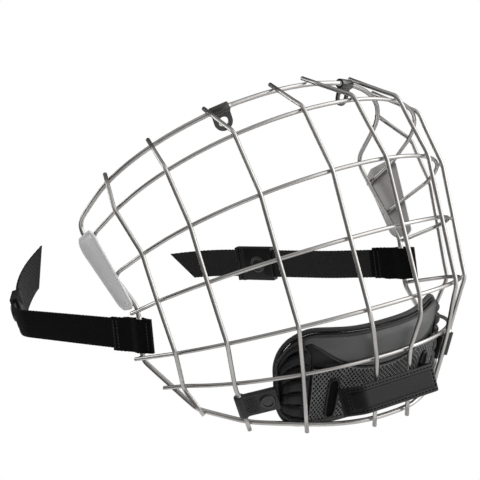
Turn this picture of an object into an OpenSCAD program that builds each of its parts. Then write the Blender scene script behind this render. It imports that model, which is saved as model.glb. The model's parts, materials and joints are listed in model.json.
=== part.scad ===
// A wire face mask for a hockey helmet, in millimetres.
// The frame is the mask as it is worn: X to the wearer's left, Y to the back, Z up.
// The origin is the middle of the rim wire at the forehead, where the mask meets the helmet.

/* [Wires] */
// Thickness of the rim wire
rim_d = 2.9; // [2.7:0.1:3.2]
// Thickness of the upright wires
upright_d = 2.6; // [2.4:0.1:2.8]
// Thickness of the cross wires
cross_d = 2.4; // [2.2:0.1:2.6]
// Space between two wires that are welded where they cross
weld_gap = 0.1; // [0.08:0.01:0.14]
// How far the wires stand past the rim
stub = 3.2; // [2:0.2:4]

/* [Rim] */
// Half width of the rim over the forehead
rim_half_w = 103; // [101:0.5:105]
// How far the forehead arch runs back to its full width
rim_arch = 82; // [80:0.5:84]
// Slope of the forehead arch, in degrees
rim_tilt = 25.2; // [24:0.2:26]
// How much wider each half of the rim is at its rear corners
corner_spread = 1.7; // [0.5:0.1:3]
// Distance from the forehead back to the rear corners
corner_back = 97; // [95:0.5:99]
// How much narrower each half of the rim is under the side plates
cheek_inset = 6; // [5:0.1:7]
// Distance from the forehead back to the bend under the side plate
cheek_back = 62.5; // [61:0.5:64]
// Height of the bend under the side plate, down from the origin
cheek_drop = 101.5; // [100.5:0.5:102.5]
// How much narrower each half of the rim is at the jaw
jaw_inset = 5; // [4.5:0.1:5.5]
// Distance from the forehead back to the jaw bend
jaw_back = 70; // [69:0.5:71]
// Height of the jaw bend, down from the origin
jaw_drop = 131.6; // [131:0.2:132.6]
// How much narrower each half of the rim is where the chin bow starts
bow_inset = 15; // [14:0.5:16]
// Distance from the forehead back to where the chin bow starts
bow_start_back = 40; // [39:0.5:41]
// Height where the chin bow starts, down from the origin
bow_start_drop = 165; // [164:0.5:166]
// Radius of the chin bow
bow_r = 68; // [66:0.5:70]
// Angle that each half of the chin bow turns through
bow_turn = 40.8; // [40:0.2:42]
// How far the chin bow reaches in front of the forehead
bow_reach = 16; // [15:0.5:17]
// Height of the chin bow at its front, down from the origin
bow_drop = 194; // [192:0.5:196]
// Rise of the chin bow for each millimetre back
bow_rise = 0.41; // [0.38:0.01:0.44]

/* [Cross wires] */
// How much wider each half of the brow wire is than the rim over the forehead
brow_spread = 4; // [3:0.5:5]
// How much wider each half of the eye wire is than the rim over the forehead
eye_spread = 0.2; // [-0.5:0.1:1]
// How much narrower each half of the nose wire is than the rim over the forehead
nose_inset = 2; // [1:0.5:3]
// How much narrower each half of the mouth wire is than the rim over the forehead
mouth_inset = 5; // [4:0.5:6]
// How much narrower each half of the chin wire is than the rim over the forehead
chin_inset = 12.5; // [11.5:0.5:13.5]
// Depth of the curve of the cross wires
curve_depth = 88.5; // [87:0.5:90]
// How far the brow wire reaches in front of the forehead
brow_reach = 32; // [30:0.5:34]
// How far the middle three cross wires reach in front of the forehead
face_reach = 46; // [44:0.5:48]
// How far the chin wire reaches in front of the forehead
chin_reach = 32.5; // [31:0.5:34]
// Height of the brow wire at the front, down from the origin
brow_drop = 16.2; // [15:0.2:17]
// Height of the eye wire at the front, down from the origin
eye_drop = 53.1; // [52:0.2:54]
// Height of the nose wire at the front, down from the origin
nose_drop = 91.5; // [90.5:0.2:92.5]
// Height of the mouth wire at the front, down from the origin
mouth_drop = 132.2; // [131.6:0.2:133]
// Height of the chin wire at the front, down from the origin
chin_drop = 160; // [159:0.2:161]
// Fall of the brow wire for each millimetre back
brow_fall = 0.38; // [0.36:0.01:0.4]
// Fall of the eye wire for each millimetre back
eye_fall = 0.25; // [0.24:0.01:0.27]
// Fall of the nose wire for each millimetre back
nose_fall = 0.11; // [0.1:0.01:0.12]
// Fall of the mouth wire for each millimetre back
mouth_fall = -0.018; // [-0.025:0.001:-0.01]
// Fall of the chin wire for each millimetre back
chin_fall = -0.123; // [-0.13:0.001:-0.115]

/* [Upright wires] */
// Angles of the uprights round the face, from the middle pair to the outer pair
upright_angles = [10.3, 34, 58.5, 81.3];
// Angles of the uprights where they cross the brow wire
brow_angles = [9.4, 32, 55.6, 80];
// Angles of the uprights where they cross the forehead arch
arch_angles = [6.5, 30, 51, 71.5];
// Angle of the middle pair where it closes in at the chin wire
chin_centre_angle = 7.4; // [7:0.1:8]
// Distances from the middle to the feet of the inner three pairs of uprights, along the chin bow
foot_x = [11.3, 44.4, 68.5];
// Distance from the foot of the outer pair to where the chin bow starts
outer_foot_inset = 1.5; // [1:0.5:3]
// How far the middle pair runs down below the mouth wire before it bends back
centre_drop = 12; // [10:1:14]

/* [Top clips] */
// Angle round the forehead arch to the middle of a top clip
clip_angle = 25.75; // [25.5:0.05:26]
// Length of rim wire that is left straight for a clip
clip_seat = 14.5; // [14:0.1:15]
// Length of a clip along the rim wire
clip_w = 11; // [10:0.5:12]
// Width of a clip's tongue
tongue_w = 11; // [10:0.5:12]
// Thickness of a clip's tongue
tongue_t = 1.6; // [1.2:0.1:2]
// Distance from the rim wire to a clip's screw hole
clip_hole_drop = 7.6; // [7.2:0.1:8.2]
// Diameter of a clip's screw hole
clip_hole_d = 6; // [5:0.1:6.4]
// Wall of a clip round the rim wire
clip_wall = 1.3; // [1:0.1:1.6]
// Running clearance between a clip and the rim wire
clip_clear = 0.08; // [0.05:0.01:0.1]
// Angle that a clip's tongue leans back by, to lie along the helmet
clip_lean = 25; // [15:1:30]

/* [Side plates] */
// Thickness of a side plate
plate_t = 1.2; // [1:0.1:1.6]
// Space between a side plate and the wires under it
plate_gap = 0.3; // [0.25:0.05:0.4]
// Angle that a side plate flares out by, towards its front edge
plate_flare = 7.4; // [5:0.2:9]
// Length of a side plate above the middle of its stretch of rim
plate_above = 22.5; // [22:0.1:23]
// Length of a side plate below that middle
plate_below = 33; // [32:0.5:34]
// How far a side plate reaches in front of the rim
plate_front = 23.5; // [23:0.5:24]
// How far a side plate reaches behind the rim
plate_rear = 9; // [8:0.5:10]

/* [Side straps] */
// Width of the webbing
webbing_w = 18; // [17:0.5:19.5]
// Thickness of the webbing
webbing_t = 1.4; // [1.2:0.1:1.6]
// Clearance between a sewn loop and its wire
loop_clear = 0.1; // [0.08:0.01:0.15]
// Distance from the bend under the side plate down to the middle of a strap
strap_drop = 16.2; // [15.5:0.1:17]
// Length of the sewn loop behind the rim wire
loop_back = 15; // [14:0.5:17]
// Length of the folded end in front of the rim wire
loop_front = 8; // [7:0.5:9]
// Length of a strap's tail behind the buckle
tail_len = 35; // [32:1:38]
// Length of the right strap before its curl
right_lead = 78; // [74:1:82]
// Angle of the right strap at the wire, inwards from straight back
right_swing = -19; // [-23:1:-15]
// Angle that the right strap curls inwards by
right_curl = 49; // [44:1:52]
// Length of the right strap's straight part, which its buckle slides on
right_run = 42; // [40:1:46]
// Angle that the right strap twists outwards by
right_twist = 12; // [7:1:15]
// Angle that the right strap's tail turns inwards by, behind its buckle
right_tail_turn = 43; // [28:1:53]
// Angle that the right strap's tail rises by, behind its buckle
right_tail_lift = 30; // [20:1:36]
// Cut of the right strap's tail, as the overhang of its upper edge
right_tail_cut = 22; // [16:1:25]
// Length of the left strap before its curl
left_lead = 29; // [25:1:33]
// Angle of the left strap at the wire, inwards from straight back
left_swing = 30; // [26:1:34]
// Angle that the left strap curls inwards by
left_curl = -8; // [-13:1:-5]
// Length of the left strap's straight part, which its buckle slides on
left_run = 67; // [65:1:71]
// Angle that the left strap twists outwards by
left_twist = 0; // [-5:1:3]
// Angle that the left strap's tail turns inwards by, behind its buckle
left_tail_turn = 27; // [12:1:37]
// Angle that the left strap's tail rises by, behind its buckle
left_tail_lift = 0; // [0:1:6]
// Cut of the left strap's tail, as the overhang of its upper edge
left_tail_cut = 14; // [8:1:17]

/* [Buckles] */
// Length of a buckle along the webbing
buckle_len = 28; // [26:0.5:30]
// Wall of a buckle past each edge of the webbing
buckle_side = 1.6; // [1.2:0.1:2.4]
// Thickness of a buckle's walls
buckle_wall = 1.3; // [1.1:0.1:1.6]
// Distance from a buckle back to the fold of the tail
buckle_rear = 6; // [5:0.5:8]
// Clearance round the webbing inside a buckle
buckle_clear = 0.35; // [0.3:0.05:0.5]
// Diameter of a buckle's snap
snap_d = 11; // [10:0.5:12]
// Height of the cap of a buckle's snap
snap_h = 2.2; // [2:0.2:2.6]
// Distance from the middle of a buckle back to its snap
snap_shift = 3; // [2:0.5:4]
// Diameter of the two round ribs that keep the webbing at a buckle's end
keeper_d = 3.4; // [3:0.1:3.8]
// How far the ribs are sunk into the buckle
keeper_sink = 0.6; // [0.4:0.1:1]

/* [Chin cup] */
// Half width of the chin cup at its top
cup_half_w = 58.5; // [57:0.5:60]
// How much narrower each half of the cup is at its bottom
cup_taper = 3; // [2:0.5:5]
// Height of the chin cup's top edge, down from the origin
cup_top = 140; // [139:0.5:141]
// Height of the chin cup
cup_h = 49; // [48:0.5:50]
// How far the cup reaches in front of the forehead at its top
cup_reach = 36.5; // [35.5:0.5:37]
// How far the cup reaches in front of the forehead at its bottom
cup_low_reach = 1; // [0:0.5:2]
// Height of the cup's upright front, before it turns in under the chin
cup_front_h = 8; // [7:0.5:9]
// Distance from the forehead back to the cup's ends at its top
cup_end_back = -6; // [-8:0.5:-4]
// Distance from the forehead back to the cup's ends at its bottom
cup_low_end_back = 15.5; // [15:0.5:17]
// How far the top edge dips in the middle
cup_dip = 3; // [2:0.5:4]
// How far the top edge rises to its shoulders, near the cup's ends
cup_shoulder = 2.5; // [2:0.5:3]
// Rise of the lower edge towards the cup's ends
cup_low_rise = 8.5; // [8:0.5:10]
// Radius of the cup's upper corners
cup_top_corner = 18; // [17:0.5:19]
// Radius of the cup's lower corners
cup_low_corner = 10; // [9:0.5:11]
// Thickness of the moulded shell
shell_t = 2.5; // [2:0.1:3]
// Thickness of the soft lining
lining_t = 8; // [6:0.5:9]
// Space between the layers of the cup
layer_gap = 0.3; // [0.3:0.05:0.4]
// Thickness of the piping round the cup's edge
piping_d = 3; // [2.8:0.1:3.2]
// Thickness of the panels on the front of the shell
panel_t = 1.1; // [1:0.1:1.3]
// Space between the shell and the panels on it
panel_gap = 0.4; // [0.35:0.05:0.5]

/* [Chin straps] */
// Height of the front tab
tab_h = 16; // [14:0.5:17]
// Height of the front tab's lower edge, down from the origin
tab_drop = 188; // [187:0.5:189]
// Half length of the front tab's face
tab_half_len = 26; // [25:0.5:27]
// Thickness of the front tab
tab_t = 2.6; // [2.2:0.2:3]
// Width of the cup's side straps
cup_strap_w = 14; // [12:0.5:14]
// Thickness of the cup's side straps
cup_strap_t = 1.5; // [1.3:0.1:1.7]
// Length of the cup's side straps from the wire
cup_strap_len = 21; // [19:0.5:22]
// Diameter of the snaps on the chin straps
cup_snap_d = 9; // [8:0.5:10]
// Height of the caps of the snaps on the chin straps
cup_snap_h = 1.6; // [1.4:0.1:1.8]
// Distance from a snap's edge to the end of its cup strap
cup_snap_inset = 1.5; // [1:0.1:2]
// Distance from the tab's corner to the middle of its snap
tab_snap_inset = 10.5; // [9:0.5:12]
// Space between the tab and the uprights that it passes
tab_clear = 0.6; // [0.5:0.1:1]

/* [Hidden] */
$fn = 32;
RIM_SIDES = 8;
WIRE_SIDES = 8;
LEFT = 1;
RIGHT = -1;

// Wire colours
WIRE = "silver";
BLACK = [0.1, 0.1, 0.11];
GREY = [0.3, 0.3, 0.31];

// Vector helpers

function unit(v) = v / norm(v);
function flip(p, side) = [side * p.x, p.y, p.z];
function mix(from, to, share) = from * (1 - share) + to * share;
function backwards(list) = [for (i = [len(list) - 1 : -1 : 0]) list[i]];

// Rounds one corner of a path with a short curve that starts and ends at the given reach.
// With touch at 1 the curve passes through the corner, and with 0 it cuts inside it.
function corner(before, at, after, reach, touch = 0) =
    let (
        start = at + unit(before - at) * min(reach, norm(before - at) * 0.45),
        end = at + unit(after - at) * min(reach, norm(after - at) * 0.45),
        tip = at + (at - (start + end) / 2) * touch
    )
    [for (t = [0 : 0.25 : 1]) start * (1 - t) * (1 - t) + tip * 2 * t * (1 - t) + end * t * t];

// Rounds every corner of an open path.
function softened(path, reach, touch = 0) = [
    path[0],
    for (i = [1 : len(path) - 2]) each corner(path[i - 1], path[i], path[i + 1], reach, touch),
    path[len(path) - 1]
];

// Wire shapes

// The heart is a point inside the mask. Every ring of a wire is turned by it, so no tube twists.
HEART = [0, 60, -90];

function ring(at, along, d, sides) =
    let (across = unit(cross(along, at - HEART)), out = cross(across, along))
    [for (k = [0 : sides - 1]) at + (out * cos(360 * k / sides) + across * sin(360 * k / sides)) * d / 2];

function along_open(path, i) =
    unit(path[min(i + 1, len(path) - 1)] - path[max(i - 1, 0)]);

function along_closed(path, i) =
    unit(path[(i + 1) % len(path)] - path[(i + len(path) - 1) % len(path)]);

// A solid that joins a row of rings. A closed one joins its last ring to its first.
module loft(rings, closed = false) {
    count = len(rings);
    sides = len(rings[0]);
    spans = closed ? count : count - 1;
    walls = [
        for (i = [0 : spans - 1], k = [0 : sides - 1])
            let (
                a = i * sides + k,
                b = i * sides + (k + 1) % sides,
                c = ((i + 1) % count) * sides + (k + 1) % sides,
                e = ((i + 1) % count) * sides + k
            )
            each [[a, e, c], [a, c, b]]
    ];
    last = (count - 1) * sides;
    caps = closed ? [] : [
        for (k = [1 : sides - 2]) each [[0, k, k + 1], [last, last + k + 1, last + k]]
    ];
    polyhedron(points = [for (r = rings) each r], faces = concat(walls, caps), convexity = 10);
}

// A round wire along a path.
module wire(path, d, sides, closed = false) {
    loft([
        for (i = [0 : len(path) - 1])
            ring(path[i], closed ? along_closed(path, i) : along_open(path, i), d, sides)
    ], closed);
}

// A true round rod from one point to another.
module rod(from, to, d) {
    run = to - from;
    translate(from)
        rotate([0, acos(run.z / norm(run)), atan2(run.y, run.x)])
            cylinder(h = norm(run), d = d);
}

// Stands children on a point, with their X, Y and Z along the three given directions.
module stand(at, x, y, z) {
    multmatrix([
        [x.x, y.x, z.x, at.x],
        [x.y, y.y, z.y, at.y],
        [x.z, y.z, z.z, at.z],
        [0, 0, 0, 1]
    ]) children();
}

// The rim wire's route

corner_half_w = rim_half_w + corner_spread;
cheek_half_w = rim_half_w - cheek_inset;
jaw_half_w = rim_half_w - jaw_inset;
bow_half_w = rim_half_w - bow_inset;

// The last angle of the forehead arch, and how far the bends of the wires reach.
ARCH_END = 78;
REAR_BEND = 11;
RIM_BEND = 4;
FLANK_BEND = 8;
WIRE_BEND = 6;
CORNER_DIP = 0.8;

function arch_point(angle) =
    let (back = rim_arch * (1 - cos(angle)))
    [rim_half_w * sin(angle), back, -back * tan(rim_tilt)];

function bow_point(x) =
    let (
        turn_x = bow_r * sin(bow_turn),
        back = abs(x) < turn_x
            ? bow_r - sqrt(bow_r * bow_r - x * x)
            : bow_r * (1 - cos(bow_turn)) + (abs(x) - turn_x) * tan(bow_turn)
    )
    [x, back - bow_reach, back * bow_rise - bow_drop];

REAR_CORNER = [corner_half_w, corner_back, -corner_back * tan(rim_tilt) - CORNER_DIP];
CHEEK_BEND = [cheek_half_w, cheek_back, -cheek_drop];
JAW_BEND = [jaw_half_w, jaw_back, -jaw_drop];
BOW_START = [bow_half_w, bow_start_back, -bow_start_drop];
BOW_FLANK = bow_point(foot_x[2]);

// The clip's seat is one straight span of the rim wire.
clip_half_turn = asin(clip_seat / 2 / rim_half_w);
CLIP_SPAN = [arch_point(clip_angle - clip_half_turn), arch_point(clip_angle + clip_half_turn)];
clip_along = unit(CLIP_SPAN[1] - CLIP_SPAN[0]);

// A side strap hangs on the straight stretch of the rim below the side plate.
strap_up = unit(CHEEK_BEND - JAW_BEND);
strap_at = CHEEK_BEND - strap_up * strap_drop;
strap_back = unit([0, 1, 0] - strap_up * strap_up.y);
strap_in = cross(strap_up, strap_back);

left_half_rim = concat(
    [for (a = [5, 12]) arch_point(a)],
    CLIP_SPAN,
    [for (a = [38 : 8 : ARCH_END]) arch_point(a)],
    corner(arch_point(ARCH_END), REAR_CORNER, CHEEK_BEND, REAR_BEND),
    corner(REAR_CORNER, CHEEK_BEND, JAW_BEND, RIM_BEND),
    corner(CHEEK_BEND, JAW_BEND, BOW_START, RIM_BEND),
    corner(JAW_BEND, BOW_START, BOW_FLANK, RIM_BEND),
    corner(BOW_START, BOW_FLANK, bow_point(bow_r * sin(bow_turn)), FLANK_BEND),
    [for (a = [bow_turn : -bow_turn / 5 : 1]) bow_point(bow_r * sin(a))]
);

rim_path = concat(left_half_rim, [for (p = backwards(left_half_rim)) flip(p, RIGHT)]);

// Cross wires
// A row holds a wire's half width, reach, drop and fall.
CROSS_ROWS = [
    [rim_half_w + brow_spread, brow_reach, brow_drop, brow_fall],
    [rim_half_w + eye_spread, face_reach, eye_drop, eye_fall],
    [rim_half_w - nose_inset, face_reach, nose_drop, nose_fall],
    [rim_half_w - mouth_inset, face_reach, mouth_drop, mouth_fall],
    [rim_half_w - chin_inset, chin_reach, chin_drop, chin_fall]
];
BROW = 0;
EYE = 1;
CHIN = 4;

function cross_height(row, y) = -row[2] - row[3] * (y + row[1]);

function cross_point(row, angle) =
    let (y = curve_depth * (1 - cos(angle)) - row[1])
    [row[0] * sin(angle), y, cross_height(row, y)];

// Where a cross wire's sloping plane cuts a straight stretch of the rim.
function rim_cut(row, from, to) =
    let (
        above = from.z - cross_height(row, from.y),
        below = to.z - cross_height(row, to.y)
    )
    from + (to - from) * above / (above - below);

// The stretch of the rim that each cross wire ends on, from the brow down.
RIM_STRETCHES = [
    [REAR_CORNER, CHEEK_BEND],
    [REAR_CORNER, CHEEK_BEND],
    [CHEEK_BEND, JAW_BEND],
    [CHEEK_BEND, JAW_BEND],
    [JAW_BEND, BOW_START]
];

CROSS_SEAT = (rim_d + cross_d) / 2 + weld_gap;

// The upper two cross wires flare out to pass under a side plate. The points lie in the plate's
// frame, as distances down the rim and back from it.
PLATE_ENTRIES = [[-11, -22.7], [14.4, -15.5]];
plate_mid = (REAR_CORNER + CHEEK_BEND) / 2;
plate_down = unit(CHEEK_BEND - REAR_CORNER);
plate_back = unit([0, 1, 0] - plate_down * plate_down.y);
plate_out = cross(plate_down, plate_back);

function plate_entry(i) =
    let (down = PLATE_ENTRIES[i][0], back = PLATE_ENTRIES[i][1])
    plate_mid + plate_down * down + plate_back * back
        + plate_out * (CROSS_SEAT - back * tan(plate_flare));

function cross_bends(i) = concat(
    [cross_point(CROSS_ROWS[i], outer_angle(i))],
    i <= EYE ? [plate_entry(i)] : []
);

function outer_angle(i) = i == BROW ? brow_angles[3] : upright_angles[3];

function cross_end(i) =
    let (
        stretch = RIM_STRETCHES[i],
        cut = rim_cut(CROSS_ROWS[i], stretch[0], stretch[1]),
        bends = cross_bends(i),
        before = bends[len(bends) - 1],
        at = cut + unit(cross(stretch[1] - stretch[0], cut - before)) * CROSS_SEAT
    )
    [at, at + unit(at - before) * stub];

function half_cross(i) = concat(
    [for (a = [0 : 10 : 60]) cross_point(CROSS_ROWS[i], a)],
    softened(concat([cross_point(CROSS_ROWS[i], 70)], cross_bends(i), cross_end(i)), WIRE_BEND, 1)
);

function cross_path(i) =
    let (half = half_cross(i))
    concat([for (p = backwards(half)) flip(p, RIGHT)], [for (k = [1 : len(half) - 1]) half[k]]);

module cross_wire(i) {
    color(WIRE) wire(cross_path(i), cross_d, WIRE_SIDES);
}

// Uprights

// The angle round the face at which an upright crosses a cross wire.
function crossing_angle(u, i) =
    i == BROW ? brow_angles[u]
    : i == CHIN && u == 0 ? chin_centre_angle
    : upright_angles[u];

function foot(u) = u < len(foot_x) ? foot_x[u] : bow_half_w - outer_foot_inset;

// The outer pair of uprights ends on the rim's flank, the others on its bow.
function foot_point(x) =
    x > foot_x[2] + 1
        ? BOW_FLANK + (BOW_START - BOW_FLANK) * (x - BOW_FLANK.x) / (BOW_START.x - BOW_FLANK.x)
        : bow_point(x);

// The points where an upright meets the rim, the five cross wires and the chin bow.
function crossings(u) = [
    arch_point(arch_angles[u]),
    for (i = [BROW : CHIN]) cross_point(CROSS_ROWS[i], crossing_angle(u, i)),
    foot_point(foot(u))
];

// The direction of the crossed wire at each of these points.
function crossed_along(u, i) =
    i == 0 ? unit(arch_point(arch_angles[u] + 1) - arch_point(arch_angles[u] - 1))
    : i == 6 ? unit(foot_point(foot(u)) - foot_point(foot(u) - 0.5))
    : let (a = crossing_angle(u, i - 1), row = CROSS_ROWS[i - 1])
        unit(cross_point(row, a + 1) - cross_point(row, a - 1));

// An upright lies on the outside of every wire that it crosses.
function upright_knots(u) =
    let (at = crossings(u))
    [
        for (i = [0 : 6])
            let (
                run = unit(at[min(i + 1, 6)] - at[max(i - 1, 0)]),
                outward = unit(cross(run, crossed_along(u, i))),
                crossed_d = i == 0 || i == 6 ? rim_d : cross_d
            )
            at[i] + outward * ((upright_d + crossed_d) / 2 + weld_gap)
    ];

function upright_path(u) =
    let (
        knots = upright_knots(u),
        top = knots[0] + unit(knots[0] - knots[1]) * stub,
        foot = knots[6] + unit(knots[6] - knots[5]) * stub,
        low = knots[4] + unit(knots[4] - knots[3]) * centre_drop * 0.5
            + unit(knots[5] - knots[4]) * centre_drop * 0.5
    )
    softened(
        concat(
            [top],
            [for (i = [1 : 4]) knots[i]],
            u == 0 ? [low] : [],
            [knots[5], foot]
        ), WIRE_BEND, 1);

// A wire is swaged truly round where a clip or a strap turns on it, a little past each end.
// The sewn layers of a strap are a little wider than its webbing.
SEWN_EXTRA = 0.4;
JOURNAL_EXTRA = 0.1;
JOURNAL_SHOW = 1;
CLIP_JOURNAL_INSET = 0.7;
journal_d = rim_d + JOURNAL_EXTRA;
upright_journal_d = upright_d + JOURNAL_EXTRA;
strap_journal = (webbing_w + SEWN_EXTRA) / 2 + JOURNAL_SHOW;
cup_strap_journal = cup_strap_w / 2 + JOURNAL_SHOW;

module upright(u, side) {
    color(WIRE) union() {
        wire([for (p = upright_path(u)) flip(p, side)], upright_d, WIRE_SIDES);
        if (u == 2)
            rod(flip(cup_strap_at + cup_strap_up * cup_strap_journal, side),
                flip(cup_strap_at - cup_strap_up * cup_strap_journal, side), upright_journal_d);
    }
}

module rim_wire() {
    color(WIRE) union() {
        wire(rim_path, rim_d, RIM_SIDES, closed = true);
        for (side = [RIGHT, LEFT])
            mirror([side == RIGHT ? 1 : 0, 0, 0]) {
                rod(CLIP_SPAN[0] + clip_along * CLIP_JOURNAL_INSET,
                    CLIP_SPAN[1] - clip_along * CLIP_JOURNAL_INSET, journal_d);
                rod(strap_at + strap_up * strap_journal, strap_at - strap_up * strap_journal, journal_d);
            }
    }
}

// Side plates

// A side plate's outline, in distances down the rim and back from it, from its blunt top round.
PLATE_NOSE = 3;
PLATE_SHOULDER = 5.5;
PLATE_HEEL = 11;
PLATE_FOOT = 8;
PLATE_CHEST = 12.3;
PLATE_CHIN = 7.5;
plate_outline = softened([
    [-plate_above, -PLATE_NOSE], [1 - plate_above, PLATE_NOSE - 1],
    [PLATE_SHOULDER - plate_above, PLATE_SHOULDER - 0.6],
    [plate_below - PLATE_HEEL, plate_rear], [plate_below - PLATE_HEEL / 2, plate_rear - 2.5],
    [plate_below, plate_rear - PLATE_HEEL - 0.5], [plate_below - 0.5, -PLATE_FOOT],
    [PLATE_CHEST - plate_above, -plate_front], [PLATE_CHIN - plate_above, 1.5 - plate_front],
    [-plate_above, -PLATE_NOSE]
], 2);

module side_plate(side) {
    seat = CROSS_SEAT + cross_d / 2 + plate_gap;
    color([0.8, 0.8, 0.82])
        mirror([side == RIGHT ? 1 : 0, 0, 0])
            stand(plate_mid + plate_out * seat, plate_down, plate_back, plate_out)
                rotate([-plate_flare, 0, 0])
                    linear_extrude(plate_t) polygon(plate_outline);
}

// Top clips

module top_clip(side) {
    back = unit(cross([0, 0, 1], clip_along));
    bore_d = journal_d + 2 * clip_clear;
    color(BLACK)
        mirror([side == RIGHT ? 1 : 0, 0, 0])
            stand((CLIP_SPAN[0] + CLIP_SPAN[1]) / 2, clip_along, back, cross(clip_along, back))
                rotate([clip_lean, 0, 0])
                    difference() {
                        union() {
                            rotate([0, 90, 0])
                                cylinder(h = clip_w, d = bore_d + 2 * clip_wall, center = true);
                            translate([-clip_w / 2, -tongue_t / 2, -clip_hole_drop])
                                cube([clip_w, tongue_t, clip_hole_drop]);
                            translate([0, tongue_t / 2, -clip_hole_drop])
                                rotate([90, 0, 0]) cylinder(h = tongue_t, d = tongue_w);
                        }
                        rotate([0, 90, 0]) cylinder(h = clip_w + 1, d = bore_d, center = true);
                        translate([0, tongue_t, -clip_hole_drop])
                            rotate([90, 0, 0]) cylinder(h = 2 * tongue_t, d = clip_hole_d);
                    }
}

// Side straps

function sided(side, right, left) = side == RIGHT ? right : left;
function swing(side) = sided(side, right_swing, left_swing);

// A strap's route holds a step for each short stretch, as its length, its turn inwards, its lift
// and its twist.
LEAD_PARTS = 5;
CURL_PARTS = 6;
CURL_STEP = 3;
FOLD = 5;
TAIL_PARTS = 6;
BUCKLE_STEP = LEAD_PARTS + CURL_PARTS;

function strap_steps(side) =
    let (
        lead = sided(side, right_lead, left_lead) / LEAD_PARTS,
        twist = sided(side, right_twist, left_twist) / LEAD_PARTS,
        curl = sided(side, right_curl, left_curl) / CURL_PARTS,
        tail_turn = sided(side, right_tail_turn, left_tail_turn) / TAIL_PARTS,
        tail_lift = sided(side, right_tail_lift, left_tail_lift)
    )
    concat(
        [for (k = [1 : LEAD_PARTS]) [lead, 0, 0, k == 1 ? 0 : twist]],
        [for (k = [1 : CURL_PARTS]) [CURL_STEP, curl, 0, k == 1 ? twist : 0]],
        [[run_len(side) - FOLD, 0, 0, 0], [FOLD, 0, 0, 0]],
        [for (k = [1 : TAIL_PARTS]) [tail_len / TAIL_PARTS, tail_turn, k == 1 ? tail_lift : 0, 0]]
    );
function run_len(side) = sided(side, right_run, left_run);

function heading(turn, lift) = [cos(turn) * cos(lift), sin(turn) * cos(lift), sin(lift)];

// The start of every step, as a point with the step's turn, lift and twist.
function route(steps, i = 0, at = [0, 0, 0], turn = 0, lift = 0, twist = 0) =
    i == len(steps)
        ? [[at, turn, lift, twist]]
        : let (t = turn + steps[i][1], l = lift + steps[i][2], w = twist + steps[i][3])
            concat([[at, t, l, w]], route(steps, i + 1, at + heading(t, l) * steps[i][0], t, l, w));

// The webbing's section at a point of its route. A cut slants it.
function band_ring(stops, i, w, t, cut) =
    let (
        turn = (stops[i][1] + stops[max(i - 1, 0)][1]) / 2,
        lift = (stops[i][2] + stops[max(i - 1, 0)][2]) / 2,
        along = heading(turn, lift),
        flat_up = heading(turn, lift + 90),
        up = flat_up * cos(stops[i][3]) - cross(flat_up, along) * sin(stops[i][3]),
        inward = cross(up, along)
    )
    [
        for (k = [[1, -1], [1, 1], [-1, 1], [-1, -1]])
            stops[i][0] + inward * k[0] * t / 2 + up * k[1] * w / 2 + along * k[1] * cut / 2
    ];

module webbing(steps, w, t, cut) {
    stops = route(steps);
    tail = len(stops) - 1 - TAIL_PARTS;
    loft([
        for (i = [0 : len(stops) - 1])
            band_ring(stops, i, w, t, cut * max(0, i - tail) / TAIL_PARTS)
    ]);
}

module on_strap(side) {
    mirror([side == RIGHT ? 1 : 0, 0, 0])
        stand(strap_at, strap_back, strap_in, strap_up)
            rotate([0, 0, swing(side)])
                children();
}

// The two sewn layers and their round turn on the wire.
module sewn_loop(front, back, w, t, bore_d) {
    difference() {
        translate([0, 0, -w / 2])
            linear_extrude(w) union() {
                circle(d = bore_d + 2 * t);
                translate([-front, -t]) square([front + back, 2 * t]);
            }
        cylinder(h = w + 1, d = bore_d, center = true);
    }
}

// The single layer runs a little way into the loop.
LOOP_LAP = 2;

// Stands children where the single layer leaves the loop.
module on_run() {
    translate([loop_back - LOOP_LAP, 0, 0]) children();
}

module strap(side) {
    color(BLACK)
        on_strap(side) union() {
            sewn_loop(
                loop_front, loop_back, webbing_w + SEWN_EXTRA, webbing_t, journal_d + 2 * loop_clear);
            on_run() webbing(
                strap_steps(side), webbing_w, webbing_t, sided(side, right_tail_cut, left_tail_cut));
        }
}

// Stands children on the straight part of a strap, at the middle of its buckle.
module on_buckle(side) {
    stop = route(strap_steps(side))[BUCKLE_STEP];
    middle = stop[0] + heading(stop[1], 0) * (run_len(side) - buckle_rear - buckle_len / 2);
    on_strap(side) on_run()
        translate(middle) rotate([0, 0, stop[1]]) rotate([stop[3], 0, 0]) children();
}

tunnel_w = webbing_w + 2 * buckle_clear;
buckle_w = tunnel_w + 2 * buckle_side;
tunnel_t = webbing_t + 2 * buckle_clear;
buckle_t = tunnel_t + 2 * buckle_wall;

module buckle(side) {
    color(BLACK)
        on_buckle(side)
            difference() {
                union() {
                    cube([buckle_len, buckle_t, buckle_w], center = true);
                    for (x = [0, keeper_d])
                        translate([buckle_len / 2 - keeper_d / 2 - x, buckle_t / 2 - keeper_sink, 0])
                            cylinder(h = buckle_w, d = keeper_d, center = true);
                }
                cube([buckle_len + 1, tunnel_t, tunnel_w], center = true);
            }
}

// A snap's low round cap, standing on its back with its face towards Y.
module snap_cap(d, h) {
    rotate([-90, 0, 0]) {
        cylinder(h = h * 0.4, d = d);
        translate([0, 0, h * 0.4]) cylinder(h = h * 0.6, d1 = d, d2 = d * 0.6);
    }
}

module buckle_snap(side) {
    color(BLACK)
        on_buckle(side) {
            translate([-snap_shift, -buckle_t / 2, 0]) mirror([0, 1, 0]) snap_cap(snap_d, snap_h);
            translate([-snap_shift, buckle_t / 2, 0]) snap_cap(snap_d, snap_h / 2);
        }
}

// Chin cup

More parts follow.
